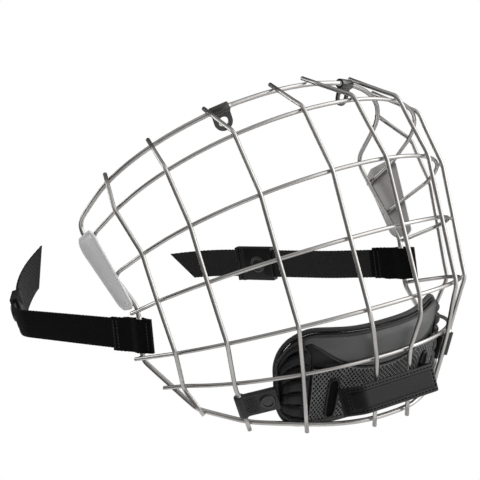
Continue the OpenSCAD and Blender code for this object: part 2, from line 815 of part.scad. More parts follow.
// The cup's outer skin: its front, its half width and its ends change with the height.
CUP_WRAP = 77;
function cup_level(z) = max(0, -z - cup_top) / cup_h;
function cup_tuck(z) = max(0, -z - cup_top - cup_front_h) / (cup_h - cup_front_h);
function cup_front(z) = -cup_reach + (cup_reach - cup_low_reach) * pow(cup_tuck(z), 1.2);
function cup_side(z) = cup_half_w - cup_taper * cup_level(z);
function cup_end(z) = cup_end_back + (cup_low_end_back - cup_end_back) * cup_level(z);
function cup_depth(z) = (cup_end(z) - cup_front(z)) / (1 - cos(CUP_WRAP));

function cup_skin(turn, z) =
    [cup_side(z) * sin(turn), cup_front(z) + cup_depth(z) * (1 - cos(turn)), z];

function cup_outward(turn, z) =
    unit(cross(
        cup_skin(turn, z - 0.5) - cup_skin(turn, z + 0.5),
        cup_skin(turn + 1, z) - cup_skin(turn - 1, z)
    ));

// The shares of the cup's half width where its shoulders are and where its corners start.
SHOULDER_U = 0.65;
TOP_CORNER_U = 0.6;
LOW_CORNER_U = 0.78;
function corner_fall(u, start) =
    let (c = max(0, abs(u) - start) / (1 - start))
    1 - sqrt(max(0, 1 - c * c));
function shoulder(u) = (1 - cos(180 * pow(min(1, abs(u) / SHOULDER_U), 1.6))) / 2;
function cup_top_z(u) =
    mix(-cup_dip, cup_shoulder, shoulder(u)) - cup_top - cup_top_corner * corner_fall(u, TOP_CORNER_U);
function cup_low_z(u) =
    cup_low_rise * pow(abs(u), 3) - cup_top - cup_h + cup_low_corner * corner_fall(u, LOW_CORNER_U);

// A point of the cup, with u from the right end to the left and v from the top down.
function cup_point(u, v, lift) =
    let (turn = CUP_WRAP * u, z = cup_top_z(u) * (1 - v) + cup_low_z(u) * v)
    cup_skin(turn, z) + cup_outward(turn, z) * lift;

// Closes a grid of points on the outside and one on the inside into one solid.
module slab(outside, inside) {
    rows = len(outside);
    cols = len(outside[0]);
    half = rows * cols;
    cells = [for (r = [0 : rows - 2], c = [0 : cols - 2]) r * cols + c];
    border = concat(
        [for (c = [0 : cols - 2]) c],
        [for (r = [0 : rows - 2]) r * cols + cols - 1],
        [for (c = [cols - 1 : -1 : 1]) half - cols + c],
        [for (r = [rows - 1 : -1 : 1]) r * cols]
    );
    faces = concat(
        [for (k = cells) each [[k, k + 1, k + cols + 1], [k, k + cols + 1, k + cols]]],
        [
            for (k = cells)
                each [
                    [half + k, half + k + cols + 1, half + k + 1],
                    [half + k, half + k + cols, half + k + cols + 1]
                ]
        ],
        [
            for (k = [0 : len(border) - 1])
                let (a = border[k], b = border[(k + 1) % len(border)])
                each [[a, half + a, half + b], [a, half + b, b]]
        ]
    );
    polyhedron(
        points = concat([for (r = outside) each r], [for (r = inside) each r]),
        faces = faces,
        convexity = 8
    );
}

// Even steps from one value to another, and steps that are finer towards both ends.
function even(from, to, steps) = [for (k = [0 : steps]) from + (to - from) * k / steps];
function eased(from, to, steps) =
    [for (k = [0 : steps]) (from + to) / 2 - (to - from) / 2 * cos(180 * k / steps)];

CUP_ACROSS = eased(-1, 1, 30);
CUP_DOWN = even(0, 1, 9);

// The shell's outline, from its top right corner along the top and round.
CUP_OUTLINE = concat(
    [for (k = [0 : 29]) [CUP_ACROSS[k], 0]],
    [for (k = [0 : 5]) [1, k / 6]],
    [for (k = [30 : -1 : 1]) [CUP_ACROSS[k], 1]],
    [for (k = [6 : -1 : 1]) [-1, k / 6]]
);

function outline_point(i) = cup_point(CUP_OUTLINE[i][0], CUP_OUTLINE[i][1], -shell_t / 2);

// The piping lies against the shell's edge, all the way round.
function piping_path() =
    let (count = len(CUP_OUTLINE))
    [
        for (i = [0 : count - 1])
            let (
                at = outline_point(i),
                along = outline_point((i + 1) % count) - outline_point((i + count - 1) % count),
                outward = cup_outward(CUP_WRAP * CUP_OUTLINE[i][0], at.z)
            )
            at + unit(cross(outward, along)) * (piping_d / 2 + weld_gap * 3)
    ];

module chin_cup_piping() {
    color(BLACK) wire(piping_path(), piping_d, WIRE_SIDES, closed = true);
}

module chin_cup_shell() {
    color(BLACK)
        slab(
            [for (v = CUP_DOWN) [for (u = CUP_ACROSS) cup_point(u, v, 0)]],
            [for (v = CUP_DOWN) [for (u = CUP_ACROSS) cup_point(u, v, -shell_t)]]
        );
}

// The padding is full in the middle, thin at its edges and drawn in along its channels.
LINING_EDGE = 0.4;
CHANNEL_DRAW = 0.25;
function lining_depth(u, v) =
    let (
        crown = mix(LINING_EDGE, 1, (1 - pow(u, 4)) * (1 - pow(2 * v - 1, 4))),
        channel = 1 - CHANNEL_DRAW * pow(abs(cos(360 * u)), 12)
    )
    lining_t * crown * channel;

module chin_cup_lining() {
    outer = -shell_t - layer_gap;
    color(BLACK)
        slab(
            [for (v = CUP_DOWN) [for (u = CUP_ACROSS) cup_point(u, v, outer)]],
            [for (v = CUP_DOWN) [for (u = CUP_ACROSS) cup_point(u, v, outer - lining_depth(u, v))]]
        );
}

PANEL_U = 0.63;
PANEL_EDGE = 0.03;

// The front panel is a crescent: its lower edge hangs lowest in the middle.
SEAM_TOP = 0.1;
SEAM_LOW = 0.45;
SEAM_GAP = 0.01;
function seam(u) = mix(SEAM_LOW, SEAM_TOP, pow(abs(u) / PANEL_U, 2.2));

// A thin panel on the front of the shell. Its upper and lower edges run from_v(u) to to_v(u).
module cup_panel(rows, from_v, to_v) {
    across = even(-PANEL_U, PANEL_U, 18);
    down = even(0, 1, rows);
    function skin(share, lift) = [for (u = across) cup_point(u, mix(from_v(u), to_v(u), share), lift)];
    slab(
        [for (k = down) skin(k, panel_gap + panel_t)],
        [for (k = down) skin(k, panel_gap)]
    );
}

module chin_cup_front_panel() {
    color(GREY) cup_panel(6, function(u) PANEL_EDGE, function(u) seam(u));
}

module chin_cup_mesh_panel() {
    color(BLACK) cup_panel(9, function(u) seam(u) + SEAM_GAP, function(u) 1 - PANEL_EDGE);
}

// The wings at the cup's ends have five soft ribs.
WING_RIBS = 5;
RIB_DEPTH = 0.4;

module cup_wing(side) {
    across = even(PANEL_U + SEAM_GAP, 1 - PANEL_EDGE, 5);
    down = even(PANEL_EDGE, 1 - PANEL_EDGE, 20);
    outer = [
        for (v = down)
            [for (u = across) cup_point(u, v, panel_gap + panel_t * (1 - RIB_DEPTH * cos(360 * WING_RIBS * v)))]
    ];
    color(BLACK)
        mirror([side == RIGHT ? 1 : 0, 0, 0])
            slab(outer, [for (v = down) [for (u = across) cup_point(u, v, panel_gap)]]);
}

// Chin straps

// The outline of a flat band along a flat path.
function band(path, t) =
    let (
        last = len(path) - 1,
        side = [
            for (i = [0 : last])
                let (run = unit(path[min(i + 1, last)] - path[max(i - 1, 0)]))
                [-run.y, run.x] * t / 2
        ]
    )
    concat(
        [for (i = [0 : last]) path[i] + side[i]],
        [for (i = [last : -1 : 0]) path[i] - side[i]]
    );

// The cup's skin at a distance from the middle, at the height of the tab's upper edge.
tab_top_z = tab_h - tab_drop;
function cup_y(x) =
    cup_front(tab_top_z) + cup_depth(tab_top_z) * (1 - cos(asin(x / cup_side(tab_top_z))));

// The tab's face passes in front of the middle uprights.
middle_knots = upright_knots(0);
upright_at_tab = middle_knots[5]
    + (middle_knots[6] - middle_knots[5]) * (tab_top_z - middle_knots[5].z)
    / (middle_knots[6].z - middle_knots[5].z);
TAB_FACE = upright_at_tab.y - (upright_d + tab_t) / 2 - tab_clear;
TAB_ROOT_X = tab_half_len + 3;
ROOT_BEAD = 0.4;
TAB_ROOT_CLEAR = 0.9;
TAB_STAND_OFF = panel_gap + panel_t + (tab_t + ROOT_BEAD) / 2 + TAB_ROOT_CLEAR;
tab_root_y = cup_y(TAB_ROOT_X) - TAB_STAND_OFF;

module front_tab() {
    path = softened([
        [-TAB_ROOT_X, tab_root_y], [-tab_half_len, TAB_FACE], [0, TAB_FACE],
        [tab_half_len, TAB_FACE], [TAB_ROOT_X, tab_root_y]
    ], 4);
    color(BLACK)
        translate([0, 0, -tab_drop])
            union() {
                linear_extrude(tab_h) polygon(band(path, tab_t));
                for (side = [RIGHT, LEFT])
                    translate([side * TAB_ROOT_X, tab_root_y, 0])
                        cylinder(h = tab_h, d = tab_t + ROOT_BEAD);
            }
}

// The snap sits on the back of the tab's free end.
module front_tab_snap() {
    color(BLACK)
        translate([tab_half_len - tab_snap_inset, TAB_FACE + tab_t / 2, tab_top_z - tab_h / 2])
            snap_cap(cup_snap_d, cup_snap_h);
}

// A cup strap's loop turns on the lower end of the side upright.
side_low = upright_knots(2)[6];
cup_strap_up = unit(upright_knots(2)[5] - side_low);
cup_strap_at = (upright_knots(2)[5] + side_low) / 2;
CUP_STRAP_STAND = [3.6, -1.7, 0];
cup_strap_end = cup_skin(CUP_WRAP * 0.9, cup_strap_at.z) + CUP_STRAP_STAND;
cup_strap_run = unit((cup_strap_end - cup_strap_at)
    - cup_strap_up * ((cup_strap_end - cup_strap_at) * cup_strap_up));

module on_cup_strap(side) {
    mirror([side == RIGHT ? 1 : 0, 0, 0])
        stand(cup_strap_at, cup_strap_run, cross(cup_strap_up, cup_strap_run), cup_strap_up)
            children();
}

module cup_strap(side) {
    color(BLACK)
        on_cup_strap(side)
            sewn_loop(0, cup_strap_len, cup_strap_w, cup_strap_t, upright_journal_d + 2 * loop_clear);
}

module cup_snap(side) {
    color(BLACK)
        on_cup_strap(side)
            translate([cup_strap_len - cup_snap_d / 2 - cup_snap_inset, cup_strap_t, 0])
                snap_cap(cup_snap_d, cup_snap_h);
}

rim_wire();
upright(3, RIGHT);  // right_outer_upright
upright(2, RIGHT);  // right_side_upright
upright(1, RIGHT);  // right_front_upright
upright(0, RIGHT);  // right_centre_upright
upright(0, LEFT);  // left_centre_upright
upright(1, LEFT);  // left_front_upright
upright(2, LEFT);  // left_side_upright
upright(3, LEFT);  // left_outer_upright
cross_wire(0);  // brow_cross_wire
cross_wire(1);  // eye_cross_wire
cross_wire(2);  // nose_cross_wire
cross_wire(3);  // mouth_cross_wire
cross_wire(4);  // chin_cross_wire
side_plate(RIGHT);  // right_side_plate
side_plate(LEFT);  // left_side_plate
top_clip(RIGHT);  // right_top_clip
top_clip(LEFT);  // left_top_clip
strap(RIGHT);  // right_strap
strap(LEFT);  // left_strap
buckle(RIGHT);  // right_buckle
buckle(LEFT);  // left_buckle
buckle_snap(RIGHT);  // right_buckle_snap
buckle_snap(LEFT);  // left_buckle_snap
chin_cup_shell();
chin_cup_lining();
chin_cup_piping();
chin_cup_front_panel();
chin_cup_mesh_panel();
cup_wing(RIGHT);  // right_cup_wing
cup_wing(LEFT);  // left_cup_wing
front_tab();
front_tab_snap();
cup_strap(RIGHT);  // right_cup_strap
cup_strap(LEFT);  // left_cup_strap
cup_snap(RIGHT);  // right_cup_snap
cup_snap(LEFT);  // left_cup_snap
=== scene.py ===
"""A wire face mask for a hockey helmet: its finishes, soft parts and fine detail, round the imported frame.

Lengths are in metres, in the frame of the mask as it is worn: X to the wearer's left, Y to the back and Z up.
"""

import json
import logging
import math
from dataclasses import dataclass
from enum import Enum
from typing import Callable, Iterable, Optional, Sequence, Union

import bmesh
import bpy
from mathutils import Matrix, Vector
from mathutils.bvhtree import BVHTree


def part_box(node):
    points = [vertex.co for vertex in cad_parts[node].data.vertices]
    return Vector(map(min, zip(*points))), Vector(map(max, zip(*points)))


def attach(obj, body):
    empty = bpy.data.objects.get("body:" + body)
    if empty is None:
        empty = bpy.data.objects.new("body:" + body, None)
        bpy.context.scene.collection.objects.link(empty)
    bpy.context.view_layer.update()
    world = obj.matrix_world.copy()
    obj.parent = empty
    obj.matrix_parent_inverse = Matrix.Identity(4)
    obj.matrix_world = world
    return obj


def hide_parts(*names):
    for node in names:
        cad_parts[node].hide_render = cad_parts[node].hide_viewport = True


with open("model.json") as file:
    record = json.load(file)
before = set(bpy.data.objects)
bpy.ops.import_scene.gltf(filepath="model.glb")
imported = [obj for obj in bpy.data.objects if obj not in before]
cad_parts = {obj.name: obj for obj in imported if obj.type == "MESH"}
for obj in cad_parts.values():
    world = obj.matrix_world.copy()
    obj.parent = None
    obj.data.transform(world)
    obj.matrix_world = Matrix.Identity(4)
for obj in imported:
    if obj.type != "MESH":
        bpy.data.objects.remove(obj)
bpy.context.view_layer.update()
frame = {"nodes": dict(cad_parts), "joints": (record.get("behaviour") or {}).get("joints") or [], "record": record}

LOG = logging.getLogger("face_mask")

# One millimetre in metres, the distance within which points are one point, and the least length that counts
MM = 0.001
MERGE_DISTANCE = 1e-6
TINY = 1e-9

# The angle in degrees from which an edge of a sheet's wall is rounded
WALL_CORNER = 50

Shape = bmesh.types.BMesh
Socket = bpy.types.NodeSocket
Value = Union[Socket, float]
Blend = Union[Vector, float]
Colour = tuple[float, float, float]
Given = dict[str, Socket]


class Side(Enum):
    """The wearer's left and right, as the sign of X."""

    LEFT = 1
    RIGHT = -1

    @property
    def word(self) -> str:
        """The side's name in lower case."""
        return self.name.lower()


# Node trees


class Graph:
    """A node tree, with short calls that add its nodes."""

    def __init__(self, tree: bpy.types.NodeTree) -> None:
        """Keeps the tree that the nodes go into."""
        self.tree = tree

    def add(self, kind: str, inputs: Optional[dict] = None, **settings: object) -> bpy.types.Node:
        """Adds a node.

        Args:
            kind: Blender's name for the kind of node.
            inputs: Values or sockets for the node's inputs, by name or number.
            settings: The node's own settings.

        Returns:
            The new node.
        """
        node = self.tree.nodes.new(kind)
        for name, value in settings.items():
            setattr(node, name, value)
        for name, value in (inputs or {}).items():
            if isinstance(value, Socket):
                self.tree.links.new(value, node.inputs[name])
            else:
                node.inputs[name].default_value = value
        return node

    def sum(self, operation: str, first: Value, second: Value = 0.0) -> Socket:
        """Adds a Math node and returns its result."""
        return self.add("ShaderNodeMath", {0: first, 1: second}, operation=operation).outputs[0]

    def noise(self, vector: Socket, scale: Value, detail: float = 2.0) -> Socket:
        """Adds a Noise Texture and returns its value."""
        return self.add("ShaderNodeTexNoise", {"Vector": vector, "Scale": scale, "Detail": detail}).outputs[0]

    def spread(
        self, value: Value, low: float, high: float, to_low: float = 0.0, to_high: float = 1.0
    ) -> Socket:
        """Adds a Map Range node that clamps, and returns its result."""
        limits = {"Value": value, "From Min": low, "From Max": high, "To Min": to_low, "To Max": to_high}
        return self.add("ShaderNodeMapRange", limits).outputs[0]

    def tint(self, share: Value, low: Colour, high: Colour) -> Socket:
        """Adds a mix of two colours and returns the result."""
        colours = {0: share, 6: (*low, 1.0), 7: (*high, 1.0)}
        return self.add("ShaderNodeMix", colours, data_type="RGBA").outputs[2]


@dataclass(frozen=True)
class Effect:
    """A shader node group for several finishes: a Vector and a Scale in, a Height and a Mask out."""

    name: str
    wire: Callable[[Graph, Given], Given]

    def tree(self) -> bpy.types.NodeTree:
        """Makes the group the first time.

        Returns:
            The group.
        """
        made = bpy.data.node_groups.get(self.name)
        if made is not None:
            return made
        made = bpy.data.node_groups.new(self.name, "ShaderNodeTree")
        made.interface.new_socket(name="Vector", in_out="INPUT", socket_type="NodeSocketVector")
        made.interface.new_socket(name="Scale", in_out="INPUT", socket_type="NodeSocketFloat")
        made.interface.new_socket(name="Height", in_out="OUTPUT", socket_type="NodeSocketFloat")
        made.interface.new_socket(name="Mask", in_out="OUTPUT", socket_type="NodeSocketFloat")
        graph = Graph(made)
        given = graph.add("NodeGroupInput").outputs
        graph.add("NodeGroupOutput", self.wire(graph, {"Vector": given["Vector"], "Scale": given["Scale"]}))
        return made


def clouds(graph: Graph, given: Given, share: float, detail: float = 4.0) -> Socket:
    """Soft patches, whose scale is a share of the effect's own scale."""
    return graph.noise(given["Vector"], graph.sum("MULTIPLY", given["Scale"], share), detail)


def cells(graph: Graph, given: Given, middle: float, rim: float) -> Socket:
    """Round cells in a close pack, which fall from 1 to 0 between two distances from their middles."""
    pattern = graph.add("ShaderNodeTexVoronoi", {"Vector": given["Vector"], "Scale": given["Scale"]})
    return graph.spread(pattern.outputs["Distance"], middle, rim, 1.0, 0.0)


def plated(graph: Graph, given: Given) -> Given:
    """Satin plating: fine draw lines, and cloudy patches that are duller.

    Args:
        graph: The group's tree.
        given: The group's Vector and Scale.

    Returns:
        The Height and the Mask.
    """
    fine = graph.noise(given["Vector"], given["Scale"], 3.0)
    patches = clouds(graph, given, 0.04)
    return {"Height": fine, "Mask": graph.spread(patches, 0.38, 0.66)}


def grained(graph: Graph, given: Given) -> Given:
    """Moulded grain: small rounded pebbles, with light scuffs on the highest of them.

    Args:
        graph: The group's tree.
        given: The group's Vector and Scale.

    Returns:
        The Height and the Mask.
    """
    pebble = cells(graph, given, 0.0, 0.7)
    patches = clouds(graph, given, 0.05)
    scuff = graph.sum("MULTIPLY", graph.spread(patches, 0.42, 0.72), graph.spread(pebble, 0.2, 1.0))
    return {"Height": pebble, "Mask": scuff}


def woven(graph: Graph, given: Given) -> Given:
    """Plain weave: warp and weft threads that pass over each other in turn.

    Its mask follows the threads' height: painted highlight on their crowns and painted shade where they dip.

    Args:
        graph: The group's tree.
        given: The group's Vector and Scale.

    Returns:
        The Height and the Mask.
    """
    scaled = graph.add("ShaderNodeVectorMath", {0: given["Vector"], 3: given["Scale"]}, operation="SCALE")
    parts = graph.add("ShaderNodeSeparateXYZ", {0: scaled.outputs[0]})
    warp = graph.sum("SINE", parts.outputs[0])
    weft = graph.sum("SINE", parts.outputs[1])
    over = graph.sum("GREATER_THAN", graph.sum("MULTIPLY", warp, weft), 0.0)
    warp_top = graph.sum("MULTIPLY", graph.sum("ABSOLUTE", warp), over)
    weft_top = graph.sum("MULTIPLY", graph.sum("ABSOLUTE", weft), graph.sum("SUBTRACT", 1.0, over))
    top = graph.sum("ADD", warp_top, graph.sum("MULTIPLY", weft_top, 0.8))
    fuzz = graph.noise(given["Vector"], given["Scale"], 2.0)
    # The colour is painted highlight on the thread crowns and painted shade in the dips, varied a little by fuzz
    return {"Height": top, "Mask": graph.sum("MULTIPLY", top, graph.spread(fuzz, 0.3, 0.7, 0.5, 1.0))}


def knitted(graph: Graph, given: Given) -> Given:
    """Fine knit: round loops in a close pack, with soft cloudy wear.

    Its mask follows the loops' height: painted highlight on their crowns and painted shade in the gaps, varied by
    the cloudy wear.

    Args:
        graph: The group's tree.
        given: The group's Vector and Scale.

    Returns:
        The Height and the Mask.
    """
    loop = cells(graph, given, 0.1, 0.8)
    patches = clouds(graph, given, 0.08, 3.0)
    # The colour is painted highlight on the loop crowns and painted shade in the gaps, times the cloudy wear
    return {"Height": loop, "Mask": graph.sum("MULTIPLY", loop, graph.spread(patches, 0.3, 0.75, 0.3, 1.0))}


class Texture(Enum):
    """The fine structures that a finish can have."""

    PLATED = Effect("plated_surface", plated)
    GRAINED = Effect("moulded_grain", grained)
    WOVEN = Effect("plain_weave", woven)
    KNITTED = Effect("fine_knit", knitted)


@dataclass(frozen=True)
class Finish:
    """A surface finish. Its material is made once.

    The light colour and the second roughness show where the texture's mask is full. The bump is in metres.
    """

    name: str
    texture: Texture
    scale: float
    dark: Colour
    light: Colour
    roughness: tuple[float, float]
    bump: float
    metallic: float = 0.0
    sheen: float = 0.0
    coat: float = 0.0
    specular: float = 0.5
    on_uv: bool = False

    def material(self) -> bpy.types.Material:
        """Makes the material the first time.

        Returns:
            The material.
        """
        made = bpy.data.materials.get(self.name)
        if made is not None:
            return made
        made = bpy.data.materials.new(self.name)
        made.use_nodes = True
        made.node_tree.nodes.clear()
        graph = Graph(made.node_tree)
        place = graph.add("ShaderNodeTexCoord").outputs["UV" if self.on_uv else "Object"]
        given = {"Vector": place, "Scale": self.scale}
        fine = graph.add("ShaderNodeGroup", given, node_tree=self.texture.value.tree()).outputs
        roughness = graph.spread(fine["Mask"], 0.0, 1.0, *self.roughness)
        bump = graph.add("ShaderNodeBump", {"Height": fine["Height"], "Strength": 1.0, "Distance": self.bump})
        shader = graph.add("ShaderNodeBsdfPrincipled", {
            "Base Color": graph.tint(fine["Mask"], self.dark, self.light),
            "Roughness": roughness,
            "Metallic": self.metallic,
            "Sheen Weight": self.sheen,
            "Coat Weight": self.coat,
            "Specular IOR Level": self.specular,
            "Normal": bump.outputs[0],
        })
        graph.add("ShaderNodeOutputMaterial", {"Surface": shader.outputs[0]})
        return made


def grey(level: float, warmth: float = 0.0) -> Colour:
    """A grey of the given level, a little warmer or cooler than neutral."""
    return (level * (1 + warmth), level, level * (1 - warmth))


# The woven and knitted finishes below use their light colour as painted highlight on thread crowns and their dark
# colour as painted shade between threads
NICKEL = Finish(
    "satin_nickel", Texture.PLATED, scale=900, dark=grey(0.36, 0.03), light=grey(0.46, 0.03),
    roughness=(0.34, 0.26), bump=2e-6, metallic=1.0,
)
WELD = Finish(
    "weld_bead", Texture.PLATED, scale=1800, dark=grey(0.38, 0.03), light=grey(0.5, 0.03),
    roughness=(0.5, 0.4), bump=1e-5, metallic=1.0,
)
PLATE = Finish(
    "plate_lacquer", Texture.PLATED, scale=500, dark=grey(0.6), light=grey(0.66),
    roughness=(0.45, 0.4), bump=1e-6,
)
PLATE_BACK = Finish(
    "plate_back", Texture.PLATED, scale=500, dark=grey(0.3, 0.03), light=grey(0.38, 0.03),
    roughness=(0.45, 0.4), bump=1e-6,
)
CLIP = Finish(
    "clip_coating", Texture.PLATED, scale=1400, dark=grey(0.01), light=grey(0.025, 0.06),
    roughness=(0.26, 0.38), bump=2e-5, metallic=0.3, coat=0.4,
)
WEBBING = Finish(
    "black_webbing", Texture.WOVEN, scale=2900, dark=grey(0.001), light=grey(0.005),
    roughness=(0.85, 0.75), bump=1.6e-4, sheen=0.01, specular=0.06, on_uv=True,
)
# A lighter copy of the black webbing for the strap's back face: painted light on that face
WEBBING_BACK_PAINTED_LIGHT = Finish(
    "webbing_back", Texture.WOVEN, scale=2900, dark=grey(0.004), light=grey(0.024),
    roughness=(0.85, 0.72), bump=2e-4, sheen=0.05, specular=0.15, on_uv=True,
)
THREAD = Finish(
    "sewing_thread", Texture.KNITTED, scale=6000, dark=grey(0.006), light=grey(0.026),
    roughness=(0.6, 0.5), bump=6e-5, specular=0.3,
)
BUCKLE = Finish(
    "buckle_nylon", Texture.GRAINED, scale=2400, dark=grey(0.003), light=grey(0.01),
    roughness=(0.34, 0.46), bump=3e-5, specular=0.3,
)
SNAP = Finish(
    "snap_lacquer", Texture.PLATED, scale=900, dark=grey(0.006), light=grey(0.016),
    roughness=(0.24, 0.34), bump=1e-5, metallic=0.3, coat=0.3,
)
CUP_FOAM = Finish(
    "cup_foam", Texture.GRAINED, scale=2600, dark=grey(0.002), light=grey(0.008, 0.02),
    roughness=(0.4, 0.5), bump=6e-5, specular=0.26,
)
CUP_GREY = Finish(
    "cup_grey_foam", Texture.GRAINED, scale=1900, dark=grey(0.05, 0.01), light=grey(0.085, 0.01),
    roughness=(0.5, 0.6), bump=7e-5,
)
LINING = Finish(
    "lining_knit", Texture.KNITTED, scale=1500, dark=grey(0.008), light=grey(0.05),
    roughness=(0.85, 0.75), bump=2e-4, sheen=0.25,
)
BINDING = Finish(
    "edge_binding", Texture.KNITTED, scale=2200, dark=grey(0.004), light=grey(0.02),
    roughness=(0.6, 0.5), bump=1.2e-4, sheen=0.05,
)
NET = Finish(
    "net_thread", Texture.KNITTED, scale=2600, dark=grey(0.06), light=grey(0.24),
    roughness=(0.5, 0.4), bump=6e-5,
)
NET_FLOOR = Finish(
    "net_floor", Texture.GRAINED, scale=3000, dark=grey(0.002), light=grey(0.006),
    roughness=(0.9, 0.8), bump=6e-5, specular=0.1,
)
TAB = Finish(
    "tab_rubber", Texture.GRAINED, scale=2300, dark=grey(0.012), light=grey(0.03),
    roughness=(0.46, 0.56), bump=8e-5, specular=0.2,
)
TAB_FIELD = Finish(
    "tab_field", Texture.GRAINED, scale=2800, dark=grey(0.005), light=grey(0.012),
    roughness=(0.4, 0.5), bump=5e-5, specular=0.18,
)
TAB_THREAD = Finish(
    "tab_thread", Texture.KNITTED, scale=5000, dark=grey(0.001), light=grey(0.003),
    roughness=(0.7, 0.6), bump=6e-5, specular=0.1,
)
CHIN_RUBBER = Finish(
    "strap_rubber", Texture.GRAINED, scale=2600, dark=grey(0.003), light=grey(0.012),
    roughness=(0.42, 0.52), bump=7e-5, specular=0.4,
)
FLOOR = Finish(
    "pale_floor", Texture.PLATED, scale=60, dark=grey(0.82), light=grey(0.86),
    roughness=(0.8, 0.75), bump=1e-5,
)


# Meshes and pieces


def joint_of(name: str) -> dict:
    """The frame's joint of the given name."""
    return next(joint for joint in frame["joints"] if joint["name"] == name)


def shown(made: bpy.types.Object) -> bpy.types.Object:
    """Links an object into the scene, and returns it."""
    bpy.context.scene.collection.objects.link(made)
    return made


def merged(node: str) -> Shape:
    """A copy of a node's mesh, with its loose triangles joined.

    Args:
        node: The node's name.

    Returns:
        A new bmesh.
    """
    shape = bmesh.new()
    shape.from_mesh(frame["nodes"][node].data)
    bmesh.ops.remove_doubles(shape, verts=shape.verts, dist=MERGE_DISTANCE)
    return shape


def copy_of(node: str, flat_angle: float = 0.5) -> Shape:
    """A merged copy of a node's mesh, with each flat face whole.

    Args:
        node: The node's name.
        flat_angle: The angle in degrees up to which two faces count as one flat face.

    Returns:
        A new bmesh.
    """
    shape = merged(node)
    bmesh.ops.dissolve_limit(
        shape, angle_limit=math.radians(flat_angle), verts=shape.verts, edges=shape.edges,
        use_dissolve_boundaries=False,
    )
    return shape


def soften_edges(shape: Shape, width: float, segments: int = 2, angle: float = 35) -> None:
    """Rounds every edge that is sharper than an angle.

    Args:
        shape: The bmesh to change.
        width: How far the rounding reaches from the edge.
        segments: The number of faces across the rounding.
        angle: The least angle between two faces, in degrees, that is rounded.
    """
    sharp = [e for e in shape.edges if len(e.link_faces) == 2 and e.calc_face_angle() > math.radians(angle)]
    bmesh.ops.bevel(
        shape, geom=sharp, offset=width, segments=segments, profile=0.5, affect="EDGES", material=-1,
        clamp_overlap=True,
    )


def add_in(whole: Shape, part: Shape) -> None:
    """Adds one bmesh to another.

    Args:
        whole: The bmesh that grows.
        part: The bmesh that goes in, which is used up.
    """
    mesh = bpy.data.meshes.new("part")
    part.to_mesh(mesh)
    part.free()
    whole.from_mesh(mesh)
    bpy.data.meshes.remove(mesh)


def piece(
    shape: Shape,
    name: str,
    body: str,
    slot: str,
    finishes: Sequence[Finish],
    nodes: Sequence[str] = (),
    sharp: float = 40,
    wall: float = 0.0,
    inwards: bool = False,
    two_faced: bool = False,
    edge: float = 0.0,
    rounds: int = 0,
) -> bpy.types.Object:
    """Turns a bmesh into a finished piece that rides on a body.

    Args:
        shape: The bmesh, which is used up.
        name: The piece's name.
        body: The body that it rides on.
        slot: The record's material slot; not used.
        finishes: The finishes of its material numbers, in order.
        nodes: The CAD nodes that it stands for.
        sharp: The angle in degrees from which an edge shows sharp.
        wall: A thickness for an open sheet, or 0.
        inwards: True where the wall grows only to the back of the sheet.
        two_faced: True where a face's back has the finish after its own.
        edge: The width of the rounding of the wall's edges, or 0.
        rounds: The number of subdivisions.

    Returns:
        The new object.
    """
    mesh = bpy.data.meshes.new(name)
    shape.to_mesh(mesh)
    shape.free()
    mesh.shade_smooth()
    mesh.set_sharp_from_angle(angle=math.radians(sharp))
    for finish in finishes:
        mesh.materials.append(finish.material())
    made = shown(bpy.data.objects.new(name, mesh))
    if wall:
        thickness = made.modifiers.new("wall", "SOLIDIFY")
        thickness.thickness = wall
        thickness.offset = -1.0 if inwards else 0.0
        thickness.use_even_offset = True
        thickness.material_offset = 1 if two_faced else 0
    if edge:
        rounding = made.modifiers.new("edges", "BEVEL")
        rounding.width = edge
        rounding.segments = 2
        rounding.limit_method = "ANGLE"
        rounding.angle_limit = math.radians(WALL_CORNER)
    if rounds:
        smooth = made.modifiers.new("rounds", "SUBSURF")
        smooth.levels = rounds
        smooth.render_levels = rounds
    if nodes:
        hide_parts(*nodes)
    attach(made, body)
    LOG.info("%s rides on %s with %d faces", name, body, len(mesh.polygons))
    return made


def sheet_grid(
    across: int, down: int, place: Callable[[float, float], Vector], size: tuple[float, float]
) -> Shape:
    """A grid of faces laid on a surface, with its UV map in metres.

    Args:
        across: The number of faces across.
        down: The number of faces down.
        place: Gives the point of the surface for two shares from 0 to 1.
        size: The surface's real width and height.

    Returns:
        A new bmesh.
    """
    shape = bmesh.new()
    bmesh.ops.create_grid(shape, x_segments=across, y_segments=down, size=0.5)
    uv = shape.loops.layers.uv.new("UVMap")
    for face in shape.faces:
        for loop in face.loops:
            loop[uv].uv = ((loop.vert.co.x + 0.5) * size[0], (loop.vert.co.y + 0.5) * size[1])
    for vert in shape.verts:
        vert.co = place(vert.co.x + 0.5, vert.co.y + 0.5)
    return shape


